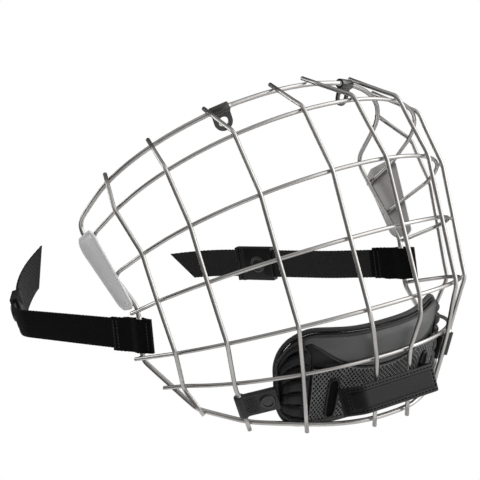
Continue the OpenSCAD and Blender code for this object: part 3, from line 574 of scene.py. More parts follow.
def net_grid(
    across: int,
    down: int,
    place: Callable[[float, float, float], Vector],
    keep: float,
    depth: float,
    slope: float = 0.35,
) -> Shape:
    """A sheet of diamond cells, each with its middle sunk in or raised.

    Args:
        across: The number of cells across.
        down: The number of cells down.
        place: Gives a point for two shares from 0 to 1 and a lift off the surface.
        keep: The width of a cell's border, as a share of a cell.
        depth: How far a cell's middle stands off the surface, which is negative where it is sunk.
        slope: The width of the slope inside the border, as a share of the border's width.

    Returns:
        A new bmesh, with the cells' middles in material number 1.
    """
    shape = bmesh.new()
    bmesh.ops.create_grid(shape, x_segments=across, y_segments=down, size=0.5)
    for vert in shape.verts:
        vert.co = Vector(((vert.co.x + 0.5) * across, (vert.co.y + 0.5) * down, 0))
    straight = [e for e in shape.edges if not e.is_boundary]
    bmesh.ops.poke(shape, faces=shape.faces)
    bmesh.ops.dissolve_edges(shape, edges=straight, use_verts=False)
    diamonds = [f for f in shape.faces if len(f.verts) == 4]
    bmesh.ops.inset_individual(shape, faces=diamonds, thickness=keep, depth=0.0)
    bmesh.ops.inset_individual(shape, faces=diamonds, thickness=keep * slope, depth=0.0)
    middles = {v for f in diamonds for v in f.verts}
    for face in diamonds:
        face.material_index = 1
    for vert in shape.verts:
        vert.co = place(vert.co.x / across, vert.co.y / down, depth if vert in middles else 0.0)
    return shape


def face_outwards(shape: Shape, middle: Vector) -> Shape:
    """Turns a sheet's faces so that most of them look away from a point.

    Args:
        shape: The sheet, which is changed.
        middle: The point.

    Returns:
        The sheet.
    """
    shape.normal_update()
    if sum(f.normal.dot(f.calc_center_median() - middle) for f in shape.faces) < 0:
        bmesh.ops.reverse_faces(shape, faces=shape.faces)
    return shape


def tube(path: Sequence[Vector], radius: float, closed: bool = False, resolution: int = 3) -> Shape:
    """A round tube along a path.

    Args:
        path: The points of the tube's middle line.
        radius: The tube's radius.
        closed: True where the path's end joins its start.
        resolution: The fineness of the round section.

    Returns:
        A new bmesh.
    """
    line = bpy.data.curves.new("line", "CURVE")
    line.dimensions = "3D"
    line.bevel_depth = radius
    line.bevel_resolution = resolution
    line.use_fill_caps = not closed
    spline = line.splines.new("POLY")
    spline.points.add(len(path) - 1)
    for point, at in zip(spline.points, path):
        point.co = (at.x, at.y, at.z, 1.0)
    spline.use_cyclic_u = closed
    holder = bpy.data.objects.new("line", line)
    mesh = bpy.data.meshes.new_from_object(holder)
    shape = bmesh.new()
    shape.from_mesh(mesh)
    bmesh.ops.remove_doubles(shape, verts=shape.verts, dist=MERGE_DISTANCE)
    bpy.data.objects.remove(holder)
    bpy.data.curves.remove(line)
    bpy.data.meshes.remove(mesh)
    return shape


def frame_of(at: Vector, x: Vector, y: Vector, z: Vector) -> Matrix:
    """A matrix that puts X, Y and Z along three directions at a point."""
    columns = Matrix((x, y, z)).transposed().to_4x4()
    return Matrix.Translation(at) @ columns


def stitches(spots: Iterable[tuple[Vector, Vector, Vector]], length: float, width: float) -> Shape:
    """Small rounded stitches, each standing out by a third of its width.

    Args:
        spots: For each stitch its place, its direction and the direction that it stands out in.
        length: The length of a stitch.
        width: The width of a stitch.

    Returns:
        A new bmesh.
    """
    shape = bmesh.new()
    for at, along, out in spots:
        y = out.cross(along).normalized()
        size = Matrix.Diagonal((length / 2, width / 2, width / 3, 1))
        place = frame_of(at, along.normalized(), y, along.normalized().cross(y)) @ size
        bmesh.ops.create_icosphere(shape, subdivisions=2, radius=1.0, matrix=place)
    return shape


def snap_cap(place: Matrix, radius: float, height: float) -> Shape:
    """A snap's round cap with its pressed ring, standing along the matrix's Z.

    Args:
        place: Where the cap stands.
        radius: The cap's radius.
        height: The cap's height.

    Returns:
        A new bmesh.
    """
    profile = [
        (0.0, 0.86), (0.3, 0.84), (0.5, 0.74), (0.58, 0.6), (0.64, 0.6), (0.7, 0.92),
        (0.78, 1.0), (0.88, 0.94), (0.96, 0.72), (1.0, 0.4), (1.0, 0.0),
    ]
    shape = bmesh.new()
    verts = [shape.verts.new((share * radius, 0, high * height)) for share, high in profile]
    edges = [shape.edges.new(pair) for pair in zip(verts, verts[1:])]
    bmesh.ops.spin(
        shape, geom=verts + edges, cent=(0, 0, 0), axis=(0, 0, 1), dvec=(0, 0, 0), angle=math.tau, steps=32,
        use_merge=True,
    )
    bmesh.ops.remove_doubles(shape, verts=shape.verts, dist=MERGE_DISTANCE)
    bmesh.ops.holes_fill(shape, edges=[e for e in shape.edges if e.is_boundary])
    bmesh.ops.recalc_face_normals(shape, faces=shape.faces)
    shape.transform(place)
    if place.determinant() < 0:
        bmesh.ops.reverse_faces(shape, faces=shape.faces)
    return shape


# The wire cage


@dataclass
class WireCage:
    """The rim wire, the uprights, the cross wires and the weld beads between them."""

    rim_radius: float = 1.45 * MM
    upright_radius: float = 1.3 * MM
    cross_radius: float = 1.2 * MM
    bead_radius: float = 1.1 * MM
    weld_reach: float = 0.5 * MM
    bead_space: float = 6 * MM
    subdivision_shrink: float = 0.075
    flat_angle: float = 12
    end_angle: float = 65
    body: str = "cage"

    def radius_of(self, node: str) -> float:
        """The radius of a wire.

        Args:
            node: The wire's node, whose name tells its kind.

        Returns:
            The radius.
        """
        if node == "rim_wire":
            return self.rim_radius
        return self.upright_radius if node.endswith("upright") else self.cross_radius

    def wires(self) -> list[str]:
        """The names of the wires' nodes."""
        members = frame["record"]["behaviour"]["bodies"][self.body]
        return [n for n in members if n == "rim_wire" or n.endswith("upright") or n.endswith("cross_wire")]

    def draw(self, node: str) -> None:
        """Makes one wire truly round.

        Args:
            node: The wire's node. Its eight sides become sixteen, and the shrink of that is made up first.
        """
        shape = merged(node)
        bmesh.ops.join_triangles(
            shape, faces=shape.faces, angle_face_threshold=math.radians(self.flat_angle),
            angle_shape_threshold=math.pi,
        )
        shape.normal_update()
        crease = shape.edges.layers.float.new("crease_edge")
        for edge in shape.edges:
            if len(edge.link_faces) == 2 and edge.calc_face_angle() > math.radians(self.end_angle):
                edge[crease] = 1.0
        growth = self.radius_of(node) * self.subdivision_shrink
        for vert, normal in [(v, v.normal.copy()) for v in shape.verts]:
            vert.co += normal * growth
        piece(shape, f"satin_{node}", self.body, "wire", [NICKEL], [node], sharp=180, rounds=1)

    def tree_of(self, node: str) -> BVHTree:
        """A search tree of a wire's faces.

        Args:
            node: The wire's node.

        Returns:
            The tree.
        """
        shape = bmesh.new()
        shape.from_mesh(frame["nodes"][node].data)
        found = BVHTree.FromBMesh(shape)
        shape.free()
        return found

    def welds(self) -> list[Vector]:
        """Finds where two wires touch.

        Returns:
            One point for each weld.
        """
        found: list[Vector] = []
        names = self.wires()
        uprights = [n for n in names if n.endswith("upright")]
        across = [n for n in names if n.endswith("cross_wire")]
        for tested, others in ((uprights, ["rim_wire", *across]), (across, ["rim_wire"])):
            trees = [self.tree_of(n) for n in others]
            for node in tested:
                for tree in trees:
                    found += self.meetings(node, tree)
        return found

    def meetings(self, node: str, tree: BVHTree) -> list[Vector]:
        """The places where a wire comes nearest to another.

        Args:
            node: The wire whose points are tested.
            tree: The search tree of the other wire.

        Returns:
            One point for each crossing.
        """
        near = []
        for vert in frame["nodes"][node].data.vertices:
            place, _, _, gap = tree.find_nearest(vert.co, self.weld_reach)
            if place is not None:
                near.append((gap, (place + vert.co) / 2))
        kept: list[Vector] = []
        for _, spot in sorted(near, key=lambda pair: pair[0]):
            if all((spot - other).length > self.bead_space for other in kept):
                kept.append(spot)
        return kept

    def weld_beads(self) -> None:
        """Sets a small bead at each crossing."""
        shape = bmesh.new()
        for spot in self.welds():
            place = Matrix.Translation(spot)
            bmesh.ops.create_icosphere(shape, subdivisions=2, radius=self.bead_radius, matrix=place)
        piece(shape, "weld_beads", self.body, "wire", [WELD], sharp=180)

    def build(self) -> None:
        """Makes all the wires and their welds."""
        for node in self.wires():
            self.draw(node)
        self.weld_beads()


@dataclass
class SidePlate:
    """One flat side plate, with rounded edges and a fine groove inside its outline."""

    side: Side
    edge: float = 0.25 * MM
    border: float = 1.6 * MM
    groove: float = 0.35 * MM
    groove_depth: float = 0.2 * MM
    back_lean: float = 0.3

    def build(self) -> None:
        """Makes the plate from its node."""
        node = f"{self.side.word}_side_plate"
        shape = copy_of(node)
        soften_edges(shape, self.edge)
        shape.normal_update()
        outer = max(shape.faces, key=lambda f: f.calc_area() * (f.normal.x * self.side.value > 0))
        insets = ((self.border, 0.0), (self.groove, -self.groove_depth), (self.groove, self.groove_depth))
        for width, depth in insets:
            bmesh.ops.inset_region(shape, faces=[outer], thickness=width, depth=depth, use_even_offset=True)
        for face in shape.faces:
            face.material_index = 1 if face.normal.x * self.side.value < -self.back_lean else 0
        piece(shape, f"{self.side.word}_cheek_plate", "cage", "plate", [PLATE, PLATE_BACK], [node], sharp=30)


@dataclass
class TopClip:
    """One formed metal clip on the forehead arch."""

    side: Side
    edge: float = 0.22 * MM

    def build(self) -> None:
        """Makes the clip from its node, with rounded edges."""
        word = self.side.word
        shape = copy_of(f"{word}_top_clip")
        soften_edges(shape, self.edge)
        piece(shape, f"{word}_coated_clip", f"{word}_clip", "clip", [CLIP], [f"{word}_top_clip"], sharp=30)


# The side straps


@dataclass
class SideStrap:
    """A webbing strap: its sewn loop on the rim wire, its run, its buckle and its tail.

    Lengths are in millimetres and angles in degrees.
    """

    side: Side
    lead: float
    swing: float
    curl: float
    run: float
    twist: float
    tail_turn: float
    tail_lift: float
    tail_cut: float
    width: float = 18
    loop_width: float = 20
    thickness: float = 1.4
    loop_back: float = 15
    loop_lap: float = 2
    loop_front: float = 7.6
    lap_end: float = 20
    inner_lap: float = 4
    wire_space: float = 1.6
    swell_reach: float = 6
    swell_parts: int = 24
    fold_parts: int = 6
    tail_length: float = 35
    lead_parts: int = 20
    curl_parts: int = 6
    curl_step: float = 3
    fold: float = 5
    straight_parts: int = 15
    tail_parts: int = 6
    strip_step: float = 1.2
    strip_rows: int = 8
    edge_round: float = 0.35
    edge_wave: float = 0.12
    edge_wave_rate: float = 2.4
    seam_insets: tuple[float, float] = (1.6, 4.4)
    front_seam_inset: float = 1.4
    seam_stitches: int = 9
    seam_width: float = 17
    stitch_length: float = 1.6
    stitch_width: float = 0.9
    stitch_lift: float = 0.05
    buckle_length: float = 28
    buckle_rear: float = 6
    buckle_thickness: float = 4.7
    buckle_round: float = 0.5
    ribs: int = 4
    rib_inset: float = 1.8
    rib_pitch: float = 1.5
    rib_length: float = 15
    rib_radius: float = 0.45
    snap_radius: float = 5.5
    snap_height: float = 2.2
    snap_shift: float = 3
    snap_sink: float = 0.02

    def __post_init__(self) -> None:
        """Finds where the strap hangs, from its joint."""
        joint = joint_of(f"{self.side.word}_strap_swing")
        self.hinge = Vector(joint["pos_m"])
        self.up = Vector(joint["axis"]) * self.side.value
        self.back = (Vector((0, 1, 0)) - self.up * self.up.y).normalized()
        self.inward = self.up.cross(self.back) * self.side.value
        self.body = f"{self.side.word}_side_strap"
        self.buckle_body = f"{self.side.word}_strap_buckle"

    def place(self, x: float, y: float, z: float) -> Vector:
        """Puts a point of the strap in the mask's frame.

        Args:
            x: How far it lies along the strap from its hinge.
            y: How far it lies inwards.
            z: How far it lies up.

        Returns:
            The point, in metres.
        """
        turn = math.radians(self.swing)
        along = x * math.cos(turn) - y * math.sin(turn)
        inward = x * math.sin(turn) + y * math.cos(turn)
        return self.hinge + (self.back * along + self.inward * inward + self.up * z) * MM

    def steps(self) -> list[tuple[float, float, float, float]]:
        """The strap's steps behind the loop.

        Returns:
            For each step its length, turn, lift and twist.
        """
        lead = [(self.lead / self.lead_parts, 0.0, 0.0, self.twist / self.lead_parts)] * self.lead_parts
        curl = [(self.curl_step, self.curl / self.curl_parts, 0.0, 0.0)] * self.curl_parts
        part = (self.run - self.fold) / self.straight_parts
        straight = [(part, 0.0, 0.0, 0.0)] * self.straight_parts + [(self.fold, 0.0, 0.0, 0.0)]
        turn = self.tail_turn / self.tail_parts
        tail = [(self.tail_length / self.tail_parts, turn, 0.0, 0.0)] * self.tail_parts
        tail[0] = (tail[0][0], turn, self.tail_lift, 0.0)
        lead[0] = (lead[0][0], 0.0, 0.0, 0.0)
        curl[0] = (curl[0][0], curl[0][1], 0.0, self.twist / self.lead_parts)
        return [*lead, *curl, *straight, *tail]

    def stops(self) -> list[tuple[Vector, float, float, float]]:
        """The start of every step, and the end of the last.

        Returns:
            For each a local point, with its turn, lift and twist.
        """
        at = Vector((self.loop_back - self.loop_lap, 0, 0))
        turn = lift = twist = 0.0
        found = []
        for length, more_turn, more_lift, more_twist in self.steps():
            turn += more_turn
            lift += more_lift
            twist += more_twist
            found.append((at.copy(), turn, lift, twist))
            at = at + heading(turn, lift) * length
        found.append((at, turn, lift, twist))
        return found

    def run_line(self) -> list[tuple[Vector, Vector, Vector]]:
        """The middle line behind the loop.

        Returns:
            Local points, each with the webbing's up and its slant.
        """
        stops = self.stops()
        tail = len(stops) - 1 - self.tail_parts
        found = []
        for i, (at, turn, lift, twist) in enumerate(stops):
            before = stops[max(i - 1, 0)]
            middle_turn, middle_lift = (turn + before[1]) / 2, (lift + before[2]) / 2
            along = heading(middle_turn, middle_lift)
            flat_up = heading(middle_turn, middle_lift + 90)
            tilt = math.radians(twist)
            up = flat_up * math.cos(tilt) - flat_up.cross(along) * math.sin(tilt)
            slant = self.tail_cut * max(0, i - tail) / self.tail_parts
            found.append((at, up, along * slant))
        return found

    def loop_line(self) -> list[Vector]:
        """The middle line of the sewn loop.

        Returns:
            Local points, from its cut end on the outside round the wire to the run.
        """
        half = self.thickness / 2
        swell = []
        for k in range(self.swell_parts + 1):
            x = self.swell_reach - 2 * self.swell_reach * k / self.swell_parts
            rise = self.wire_space * (0.5 + 0.5 * math.cos(math.pi * x / self.swell_reach))
            swell.append((x, half + rise))
        lap = [Vector((x, -2 * half, 0)) for x in (self.lap_end, self.loop_back)]
        outer = [Vector((x, -y, 0)) for x, y in swell]
        angles = [math.pi * k / self.fold_parts for k in range(self.fold_parts + 1)]
        fold = [Vector((-self.loop_front - half * math.sin(a), -half * math.cos(a), 0)) for a in angles]
        inner = [Vector((x, y, 0)) for x, y in reversed(swell)]
        return [*lap, *outer, *fold, *inner, Vector((self.loop_back - self.inner_lap, half, 0))]

    def webbing(self) -> None:
        """Makes the whole strap as one strip that folds round the wire."""
        flat_up = Vector((0, 0, 1))
        loop = [(at, flat_up, Vector(), self.loop_width) for at in self.loop_line()]
        start = Vector((self.loop_back + 1, 0, 0))
        run = [(at, up, slant, self.width) for at, up, slant in self.run_line() if at.x > start.x + 1]
        line = spaced([*loop, (start, flat_up, Vector(), self.width), *run], self.strip_step)
        last = len(line) - 1
        length = self.strip_step * last

        def place(along: float, across: float) -> Vector:
            """The strip's point.

            Args:
                along: The share of its length.
                across: The share of its width.

            Returns:
                The point, in metres.
            """
            at, up, slant, width = line[min(last, round(along * last))]
            high = across - 0.5
            at_edge = abs(high) > 0.49
            wave = self.edge_wave * math.sin(along * length * self.edge_wave_rate) if at_edge else 0.0
            point = at + up * (high * width + wave * (1 if high > 0 else -1)) + slant * high
            return self.place(*point)

        shape = sheet_grid(last, self.strip_rows, place, (length * MM, self.width * MM))
        if self.side is Side.RIGHT:
            bmesh.ops.reverse_faces(shape, faces=shape.faces)
        # The loop shows the outer finish on both of its faces; elsewhere the back face has the lighter copy of the
        # webbing, which is painted light
        reach = (self.lap_end + 1) * MM
        for face in shape.faces:
            away = face.calc_center_median() - self.hinge
            face.material_index = 2 if (away - self.up * away.dot(self.up)).length < reach else 0
        piece(
            shape, f"{self.side.word}_webbing", self.body, "webbing",
            [WEBBING, WEBBING_BACK_PAINTED_LIGHT, WEBBING, WEBBING], [f"{self.side.word}_strap"],
            wall=self.thickness * MM, edge=self.edge_round * MM, two_faced=True,
        )

    def seams(self) -> None:
        """Sews three rows of stitches across the loop, on both of its faces."""
        half = self.thickness / 2
        rows = [(self.lap_end - inset, -3 * half, half) for inset in self.seam_insets]
        rows.append((self.front_seam_inset - self.loop_front, -2 * half, 2 * half))
        spots = []
        for x, outer_y, inner_y in rows:
            for k in range(self.seam_stitches):
                z = (k + 0.5) / self.seam_stitches * self.seam_width - self.seam_width / 2
                for y in (outer_y - self.stitch_lift, inner_y + self.stitch_lift):
                    out = (self.place(x, y * 2, z) - self.place(x, y, z)).normalized()
                    spots.append((self.place(x, y, z), self.up, out))
        shape = stitches(spots, self.stitch_length * MM, self.stitch_width * MM)
        piece(shape, f"{self.side.word}_strap_stitches", self.body, "webbing", [THREAD], sharp=180)

    def buckle_frame(self) -> Matrix:
        """Stands on the middle of the buckle.

        Returns:
            A matrix with X along the webbing, Y inwards and Z up, in millimetres.
        """
        at, turn, _, twist = self.stops()[self.lead_parts + self.curl_parts]
        along = heading(turn, 0)
        middle = at + along * (self.run - self.buckle_rear - self.buckle_length / 2)
        tilt = math.radians(twist)
        up = Vector((0, 0, 1))
        across = up.cross(along)
        local_y = across * math.cos(tilt) + up * math.sin(tilt)
        local_z = up * math.cos(tilt) - across * math.sin(tilt)
        origin = self.place(*middle)
        axes = [self.place(*(middle + axis)) - origin for axis in (along, local_y, local_z)]
        return frame_of(origin, *axes)

    def buckle(self) -> None:
        """Makes the buckle from its node, with round edges, and grip ribs on both of its faces."""
        node = f"{self.side.word}_buckle"
        shape = copy_of(node)
        soften_edges(shape, self.buckle_round * MM, segments=3)
        piece(shape, f"{self.side.word}_buckle_frame", self.buckle_body, "buckle", [BUCKLE], [node], sharp=30)
        place = self.buckle_frame()
        high = self.rib_length / 2
        shape = bmesh.new()
        for k in range(self.ribs):
            x = -self.buckle_length / 2 + self.rib_inset + self.rib_pitch * k
            for face in (-1, 1):
                y = face * self.buckle_thickness / 2
                ends = [place @ Vector((x, y, z)) for z in (-high, high)]
                add_in(shape, tube(ends, self.rib_radius * MM, resolution=2))
        piece(shape, f"{self.side.word}_buckle_ribs", self.buckle_body, "buckle", [BUCKLE])

    def snap(self) -> None:
        """Sets the snap's cap on the outer face and its lower back on the inner face."""
        place = self.buckle_frame()
        x, y, z = (place.col[k].to_3d().normalized() for k in range(3))
        seat = self.buckle_thickness / 2 - self.snap_sink
        shape = bmesh.new()
        for face, height in ((-1, self.snap_height), (1, self.snap_height / 2)):
            at = place @ Vector((-self.snap_shift, face * seat, 0))
            stand = frame_of(at, x, z * face, y * face)
            add_in(shape, snap_cap(stand, self.snap_radius * MM, height * MM))
        nodes = [f"{self.side.word}_buckle_snap"]
        piece(shape, f"{self.side.word}_strap_snap_caps", self.buckle_body, "snap", [SNAP], nodes)

    def build(self) -> None:
        """Makes the strap and what is on it."""
        self.webbing()
        self.seams()
        self.buckle()
        self.snap()


def heading(turn: float, lift: float) -> Vector:
    """The direction for a turn inwards and a lift, in degrees."""
    around, climb = math.radians(turn), math.radians(lift)
    return Vector((math.cos(around) * math.cos(climb), math.sin(around) * math.cos(climb), math.sin(climb)))


def spaced(line: Sequence[tuple], step: float) -> list[tuple]:
    """Lays even stations along a smooth line through the given ones.

    Args:
        line: The stations, each a point followed by values that change with it.
        step: The distance between the new stations.

    Returns:
        The new stations.
    """
    lengths = [0.0]
    for before, after in zip(line, line[1:]):
        lengths.append(lengths[-1] + (after[0] - before[0]).length)
    count = max(2, round(lengths[-1] / step))
    found = []
    i = 0
    for k in range(count + 1):
        distance = min(lengths[-1] * k / count, lengths[-1] - TINY)
        while lengths[i + 1] < distance:
            i += 1
        share = (distance - lengths[i]) / max(lengths[i + 1] - lengths[i], TINY)
        around = [line[min(max(n, 0), len(line) - 1)] for n in (i - 1, i, i + 1, i + 2)]
        found.append(tuple(rounded(*(station[v] for station in around), share) for v in range(len(line[0]))))
    return found


def rounded(before: Blend, start: Blend, end: Blend, after: Blend, share: float) -> Blend:
    """A Catmull-Rom value between two of four values.

    Args:
        before: The value before the two.
        start: The first of the two.
        end: The second of the two.
        after: The value after the two.
        share: The share of the way from start to end.

    Returns:
        The value there.
    """
    square, cube = share * share, share * share * share
    return (
        start * (1 - 2.5 * square + 1.5 * cube) + end * (0.5 * share + 2 * square - 1.5 * cube)
        + before * (-0.5 * share + square - 0.5 * cube) + after * (-0.5 * square + 0.5 * cube)
    )


# The chin cup


@dataclass
class ChinCup:
    """The padded chin cup: shell, grey panel, net, ribbed wings, slots and bindings.

    Sizes are in millimetres. Places on the cup are shares: u goes from -1 at the wearer's right end to 1 at
    the left end, and v from 0 at the upper edge to 1 at the lower edge.
    """

    half_width: float = 58.5
    taper: float = 3
    top: float = 140
    height: float = 49
    reach: float = 36.5
    low_reach: float = 1
    front_height: float = 8
    end_back: float = -6
    low_end_back: float = 15.5
    dip: float = 3
    shoulder: float = 2.5
    low_rise: float = 8.5
    top_corner: float = 18
    low_corner: float = 10
    shoulder_u: float = 0.65
    top_corner_u: float = 0.6
    low_corner_u: float = 0.78
    wrap: float = 77
    shell: float = 2.5
    shell_round: float = 0.5
    cover: float = 0.3
    gap: float = 0.4
    panel: float = 1.1
    panel_u: float = 0.63
    panel_edge: float = 0.03
    panel_seat: float = 0.25
    panel_rise: float = 1.0
    panel_roll: float = 0.16
    panel_crown: float = 0.5
    seam_top: float = 0.1
    seam_low: float = 0.45
    piping: float = 3
    piping_space: float = 0.1
    ribs: int = 6
    rib_height: float = 2.2
    rib_bow: float = 0.3
    rib_seat: float = 0.1
    rib_end: float = 0.14
    rib_edge: float = 0.04
    wing_space: float = 0.01
    tip: float = 0.07
    tip_fall: float = 0.24
    net_across: int = 36
    net_down: int = 11
    net_thread: float = 0.12
    net_depth: float = 0.9
    net_swell: float = 0.35
    net_space: float = 0.02
    net_corner: float = 0.55
    net_drop: float = 0.26
    slot_u: float = 0.44
    slot_v: float = 0.72
    slot_width: float = 0.09
    slot_height: float = 0.42
    slot_points: int = 40
    slot_frame_radius: float = 0.7
    slot_frame_lift: float = 0.9
    slot_floor_lift: float = 0.8
    outline_steps: int = 72
    outline_end_steps: int = 10
    welt_inset: float = 0.018
    welt_lift: float = 0.9
    welt_radius: float = 0.75
    cord_drop: float = 0.012
    cord_lift: float = 0.8
    cord_radius: float = 0.55
    cord_steps: int = 60
    middle: Vector = Vector((0, 0.03, -0.165))
    body: str = "cage"

    def skin(self, turn: float, z: float) -> Vector:
        """A point of the shell's outer skin.

        Args:
            turn: The point's turn round the chin in degrees, from the front to the wearer's left.
            z: Its height.

        Returns:
            The point.
        """
        level = max(0.0, -z - self.top) / self.height
        tuck = max(0.0, -z - self.top - self.front_height) / (self.height - self.front_height)
        front = -self.reach + (self.reach - self.low_reach) * tuck ** 1.2
        end = self.end_back + (self.low_end_back - self.end_back) * level
        depth = (end - front) / (1 - math.cos(math.radians(self.wrap)))
        angle = math.radians(turn)
        side = self.half_width - self.taper * level
        return Vector((side * math.sin(angle), front + depth * (1 - math.cos(angle)), z))

    def outward(self, turn: float, z: float) -> Vector:
        """The direction square to the skin."""
        down = self.skin(turn, z - 0.5) - self.skin(turn, z + 0.5)
        return down.cross(self.skin(turn + 1, z) - self.skin(turn - 1, z)).normalized()

    def edge_height(self, u: float, top: bool) -> float:
        """The height of the cup's edge.

        Args:
            u: The place across the cup.
            top: True for the upper edge and False for the lower one.

        Returns:
            The height.
        """
        start = self.top_corner_u if top else self.low_corner_u
        past = max(0.0, abs(u) - start) / (1 - start)
        fall = 1 - math.sqrt(max(0.0, 1 - past * past))
        if not top:
            return self.low_rise * abs(u) ** 3 - self.top - self.height + self.low_corner * fall
        share = (1 - math.cos(math.pi * min(1, abs(u) / self.shoulder_u) ** 1.6)) / 2
        return self.shoulder * share - self.dip * (1 - share) - self.top - self.top_corner * fall

    def local(self, u: float, v: float, lift: float) -> Vector:
        """A point of the cup.

        Args:
            u: The place across the cup.
            v: The place down the cup.
            lift: How far the point stands off the shell.

        Returns:
            The point, in millimetres.
        """
        turn = self.wrap * u
        z = self.edge_height(u, True) * (1 - v) + self.edge_height(u, False) * v
        return self.skin(turn, z) + self.outward(turn, z) * lift

    def point(self, u: float, v: float, lift: float) -> Vector:
        """The same point in metres."""
        return self.local(u, v, lift) * MM

    def seam(self, u: float) -> float:
        """The place down the cup at which the grey panel ends."""
        share = min(1.0, abs(u) / self.panel_u) ** 2.2
        return self.seam_low * (1 - share) + self.seam_top * share

    def layer(
        self,
        shape: Shape,
        name: str,
        slot: str,
        finishes: Sequence[Finish],
        node: str,
        wall: float,
        **more: float,
    ) -> None:
        """Finishes one of the cup's sheets, with its faces outwards and its wall behind them.

        Args:
            shape: The sheet, which is used up.
            name: The piece's name.
            slot: The record's material slot.
            finishes: The finishes of its material numbers, in order.
            node: The CAD node that it stands for.
            wall: The thickness of its wall.
            more: What else the piece is given.
        """
        piece(
            face_outwards(shape, self.middle), name, self.body, slot, finishes, [node],
            wall=wall * MM, inwards=True, **more,
        )

    def hard_shell(self) -> None:
        """Makes the moulded shell as one smooth sheet with its wall."""
        def place(a: float, b: float) -> Vector:
            """The skin's point at shares across and down."""
            return self.point(2 * a - 1, b, 0)

        shape = sheet_grid(72, 24, place, size=(0.15, 0.05))
        self.layer(
            shape, "cup_shell", "cup_plastic", [CUP_FOAM], "chin_cup_shell", self.shell,
            edge=self.shell_round * MM,
        )

    def grey_panel(self) -> None:
        """Makes the crowned grey panel with its rolled lower edge."""
        def place(a: float, b: float) -> Vector:
            """The panel's point.

            Args:
                a: The share of the way across.
                b: The share of the way down.

            Returns:
                The point, in metres.
            """
            u = (self.panel_u + self.tip) * (2 * a - 1)
            v = self.panel_edge + (self.seam(u) - self.panel_edge) * b
            rim = min(b, 1 - b, a * 3, (1 - a) * 3) / self.panel_roll
            roll = math.sqrt(1 - (1 - min(1.0, rim)) ** 2)
            crown = self.panel_crown * (1 - (2 * b - 1) ** 2) * (1 - (2 * a - 1) ** 4)
            return self.point(u, v, self.gap + self.panel_seat + self.panel_rise * roll + crown)

        shape = sheet_grid(96, 32, place, size=(0.1, 0.02))
        self.layer(
            shape, "cup_grey_panel", "front_panel", [CUP_GREY], "chin_cup_front_panel", self.cover
        )

    def net_panel(self) -> None:
        """Makes the net below the grey panel: diamond cells sunk between raised threads."""
        def place(a: float, b: float, lift: float) -> Vector:
            """The net's point.

            Args:
                a: The share of the way across.
                b: The share of the way down.
                lift: How far it stands off the net, in millimetres.

            Returns:
                The point, in metres.
            """
            u = self.panel_u * (2 * a - 1)
            past = max(0.0, (abs(2 * a - 1) - self.net_corner) / (1 - self.net_corner))
            top = self.seam(u) + self.net_space + self.net_drop * past
            v = top + (1 - self.panel_edge - top) * b
            swell = self.net_swell * math.sin(math.pi * b)
            return self.point(u, v, self.gap + self.panel + swell + lift)

        shape = net_grid(self.net_across, self.net_down, place, self.net_thread, -self.net_depth)
        self.layer(
            shape, "cup_net_panel", "mesh_panel", [NET, NET_FLOOR], "chin_cup_mesh_panel", self.cover,
            sharp=50,
        )

    def wing(self, side: Side) -> None:
        """Makes the soft ribs at one end of the cup, with a narrow fold between each two.

        Args:
            side: The end's side.
        """
        low, high = self.panel_u + self.wing_space, 1 - self.panel_edge

        def place(a: float, b: float) -> Vector:
            """The wing's point.

            Args:
                a: The share of the way out from the panel.
                b: The share of the way down.

            Returns:
                The point, in metres.
            """
            u = side.value * (low + (high - low) * a)
            v = self.panel_edge + (1 - 2 * self.panel_edge) * b
            u += side.value * self.tip * max(0.0, 1 - v / self.tip_fall) * (1 - a)
            wave = (b * self.ribs + self.rib_bow * math.sin(a * math.pi)) % 1.0
            rib = 1 - abs(2 * wave - 1) ** 4
            rim = min(1.0, min(a, 1 - a) / self.rib_end, min(b, 1 - b) / self.rib_edge)
            swell = 0.4 + 0.6 * math.sin(math.pi * min(1.0, a * 1.4))
            lift = self.rib_height * swell * rib * math.sqrt(rim)
            return self.point(u, v, self.gap + self.rib_seat + lift)

        shape = sheet_grid(24, 100, place, size=(0.03, 0.05))
        self.layer(
            shape, f"{side.word}_cup_ribs", "cup_plastic", [CUP_FOAM], f"{side.word}_cup_wing", self.cover
        )

    def outline(self, inset: float) -> list[tuple[float, float]]:
        """The cup's outline, from its top right corner round.

        Args:
            inset: How far inside the edge the line runs, as a share of u. It is doubled down the cup.

        Returns:
            The points of the line, as u and v.
        """
        wide = 1 - inset
        across, ends = self.outline_steps, self.outline_end_steps
        ease = [-wide * math.cos(math.pi * k / across) for k in range(across)]
        down = [inset * 2 + (1 - inset * 4) * k / ends for k in range(ends)]
        top = [(u, inset * 2) for u in ease]
        left = [(wide, v) for v in down]
        low = [(-u, 1 - inset * 2) for u in ease]
        right = [(-wide, 1 - v) for v in down]
        return [*top, *left, *low, *right]

    def slot(self, side: Side) -> None:
        """Makes the dark rounded slot on one side of the tab, with its raised frame.

        Args:
            side: The slot's side.
        """
        def place(a: float, b: float, lift: float) -> Vector:
            """The slot's point at shares out and down, with its lift."""
            u = side.value * (self.slot_u + self.slot_width * (a - 0.5))
            return self.point(u, self.slot_v + self.slot_height * (b - 0.5), self.gap + self.panel + lift)

        ring = []
        for k in range(self.slot_points):
            angle = math.tau * k / self.slot_points
            bulge = (abs(math.cos(angle)) ** 4 + abs(math.sin(angle)) ** 4) ** -0.25
            ring.append((0.5 + 0.5 * bulge * math.cos(angle), 0.5 + 0.5 * bulge * math.sin(angle)))
        path = [place(a, b, self.slot_frame_lift) for a, b in ring]
        shape = tube(path, self.slot_frame_radius * MM, closed=True)
        piece(shape, f"{side.word}_slot_frame", self.body, "cup_plastic", [CUP_FOAM])
        floor = bmesh.new()
        floor.faces.new([floor.verts.new(place(a, b, self.slot_floor_lift)) for a, b in ring])
        face_outwards(floor, self.middle)
        piece(floor, f"{side.word}_slot_floor", self.body, "cup_plastic", [NET_FLOOR])

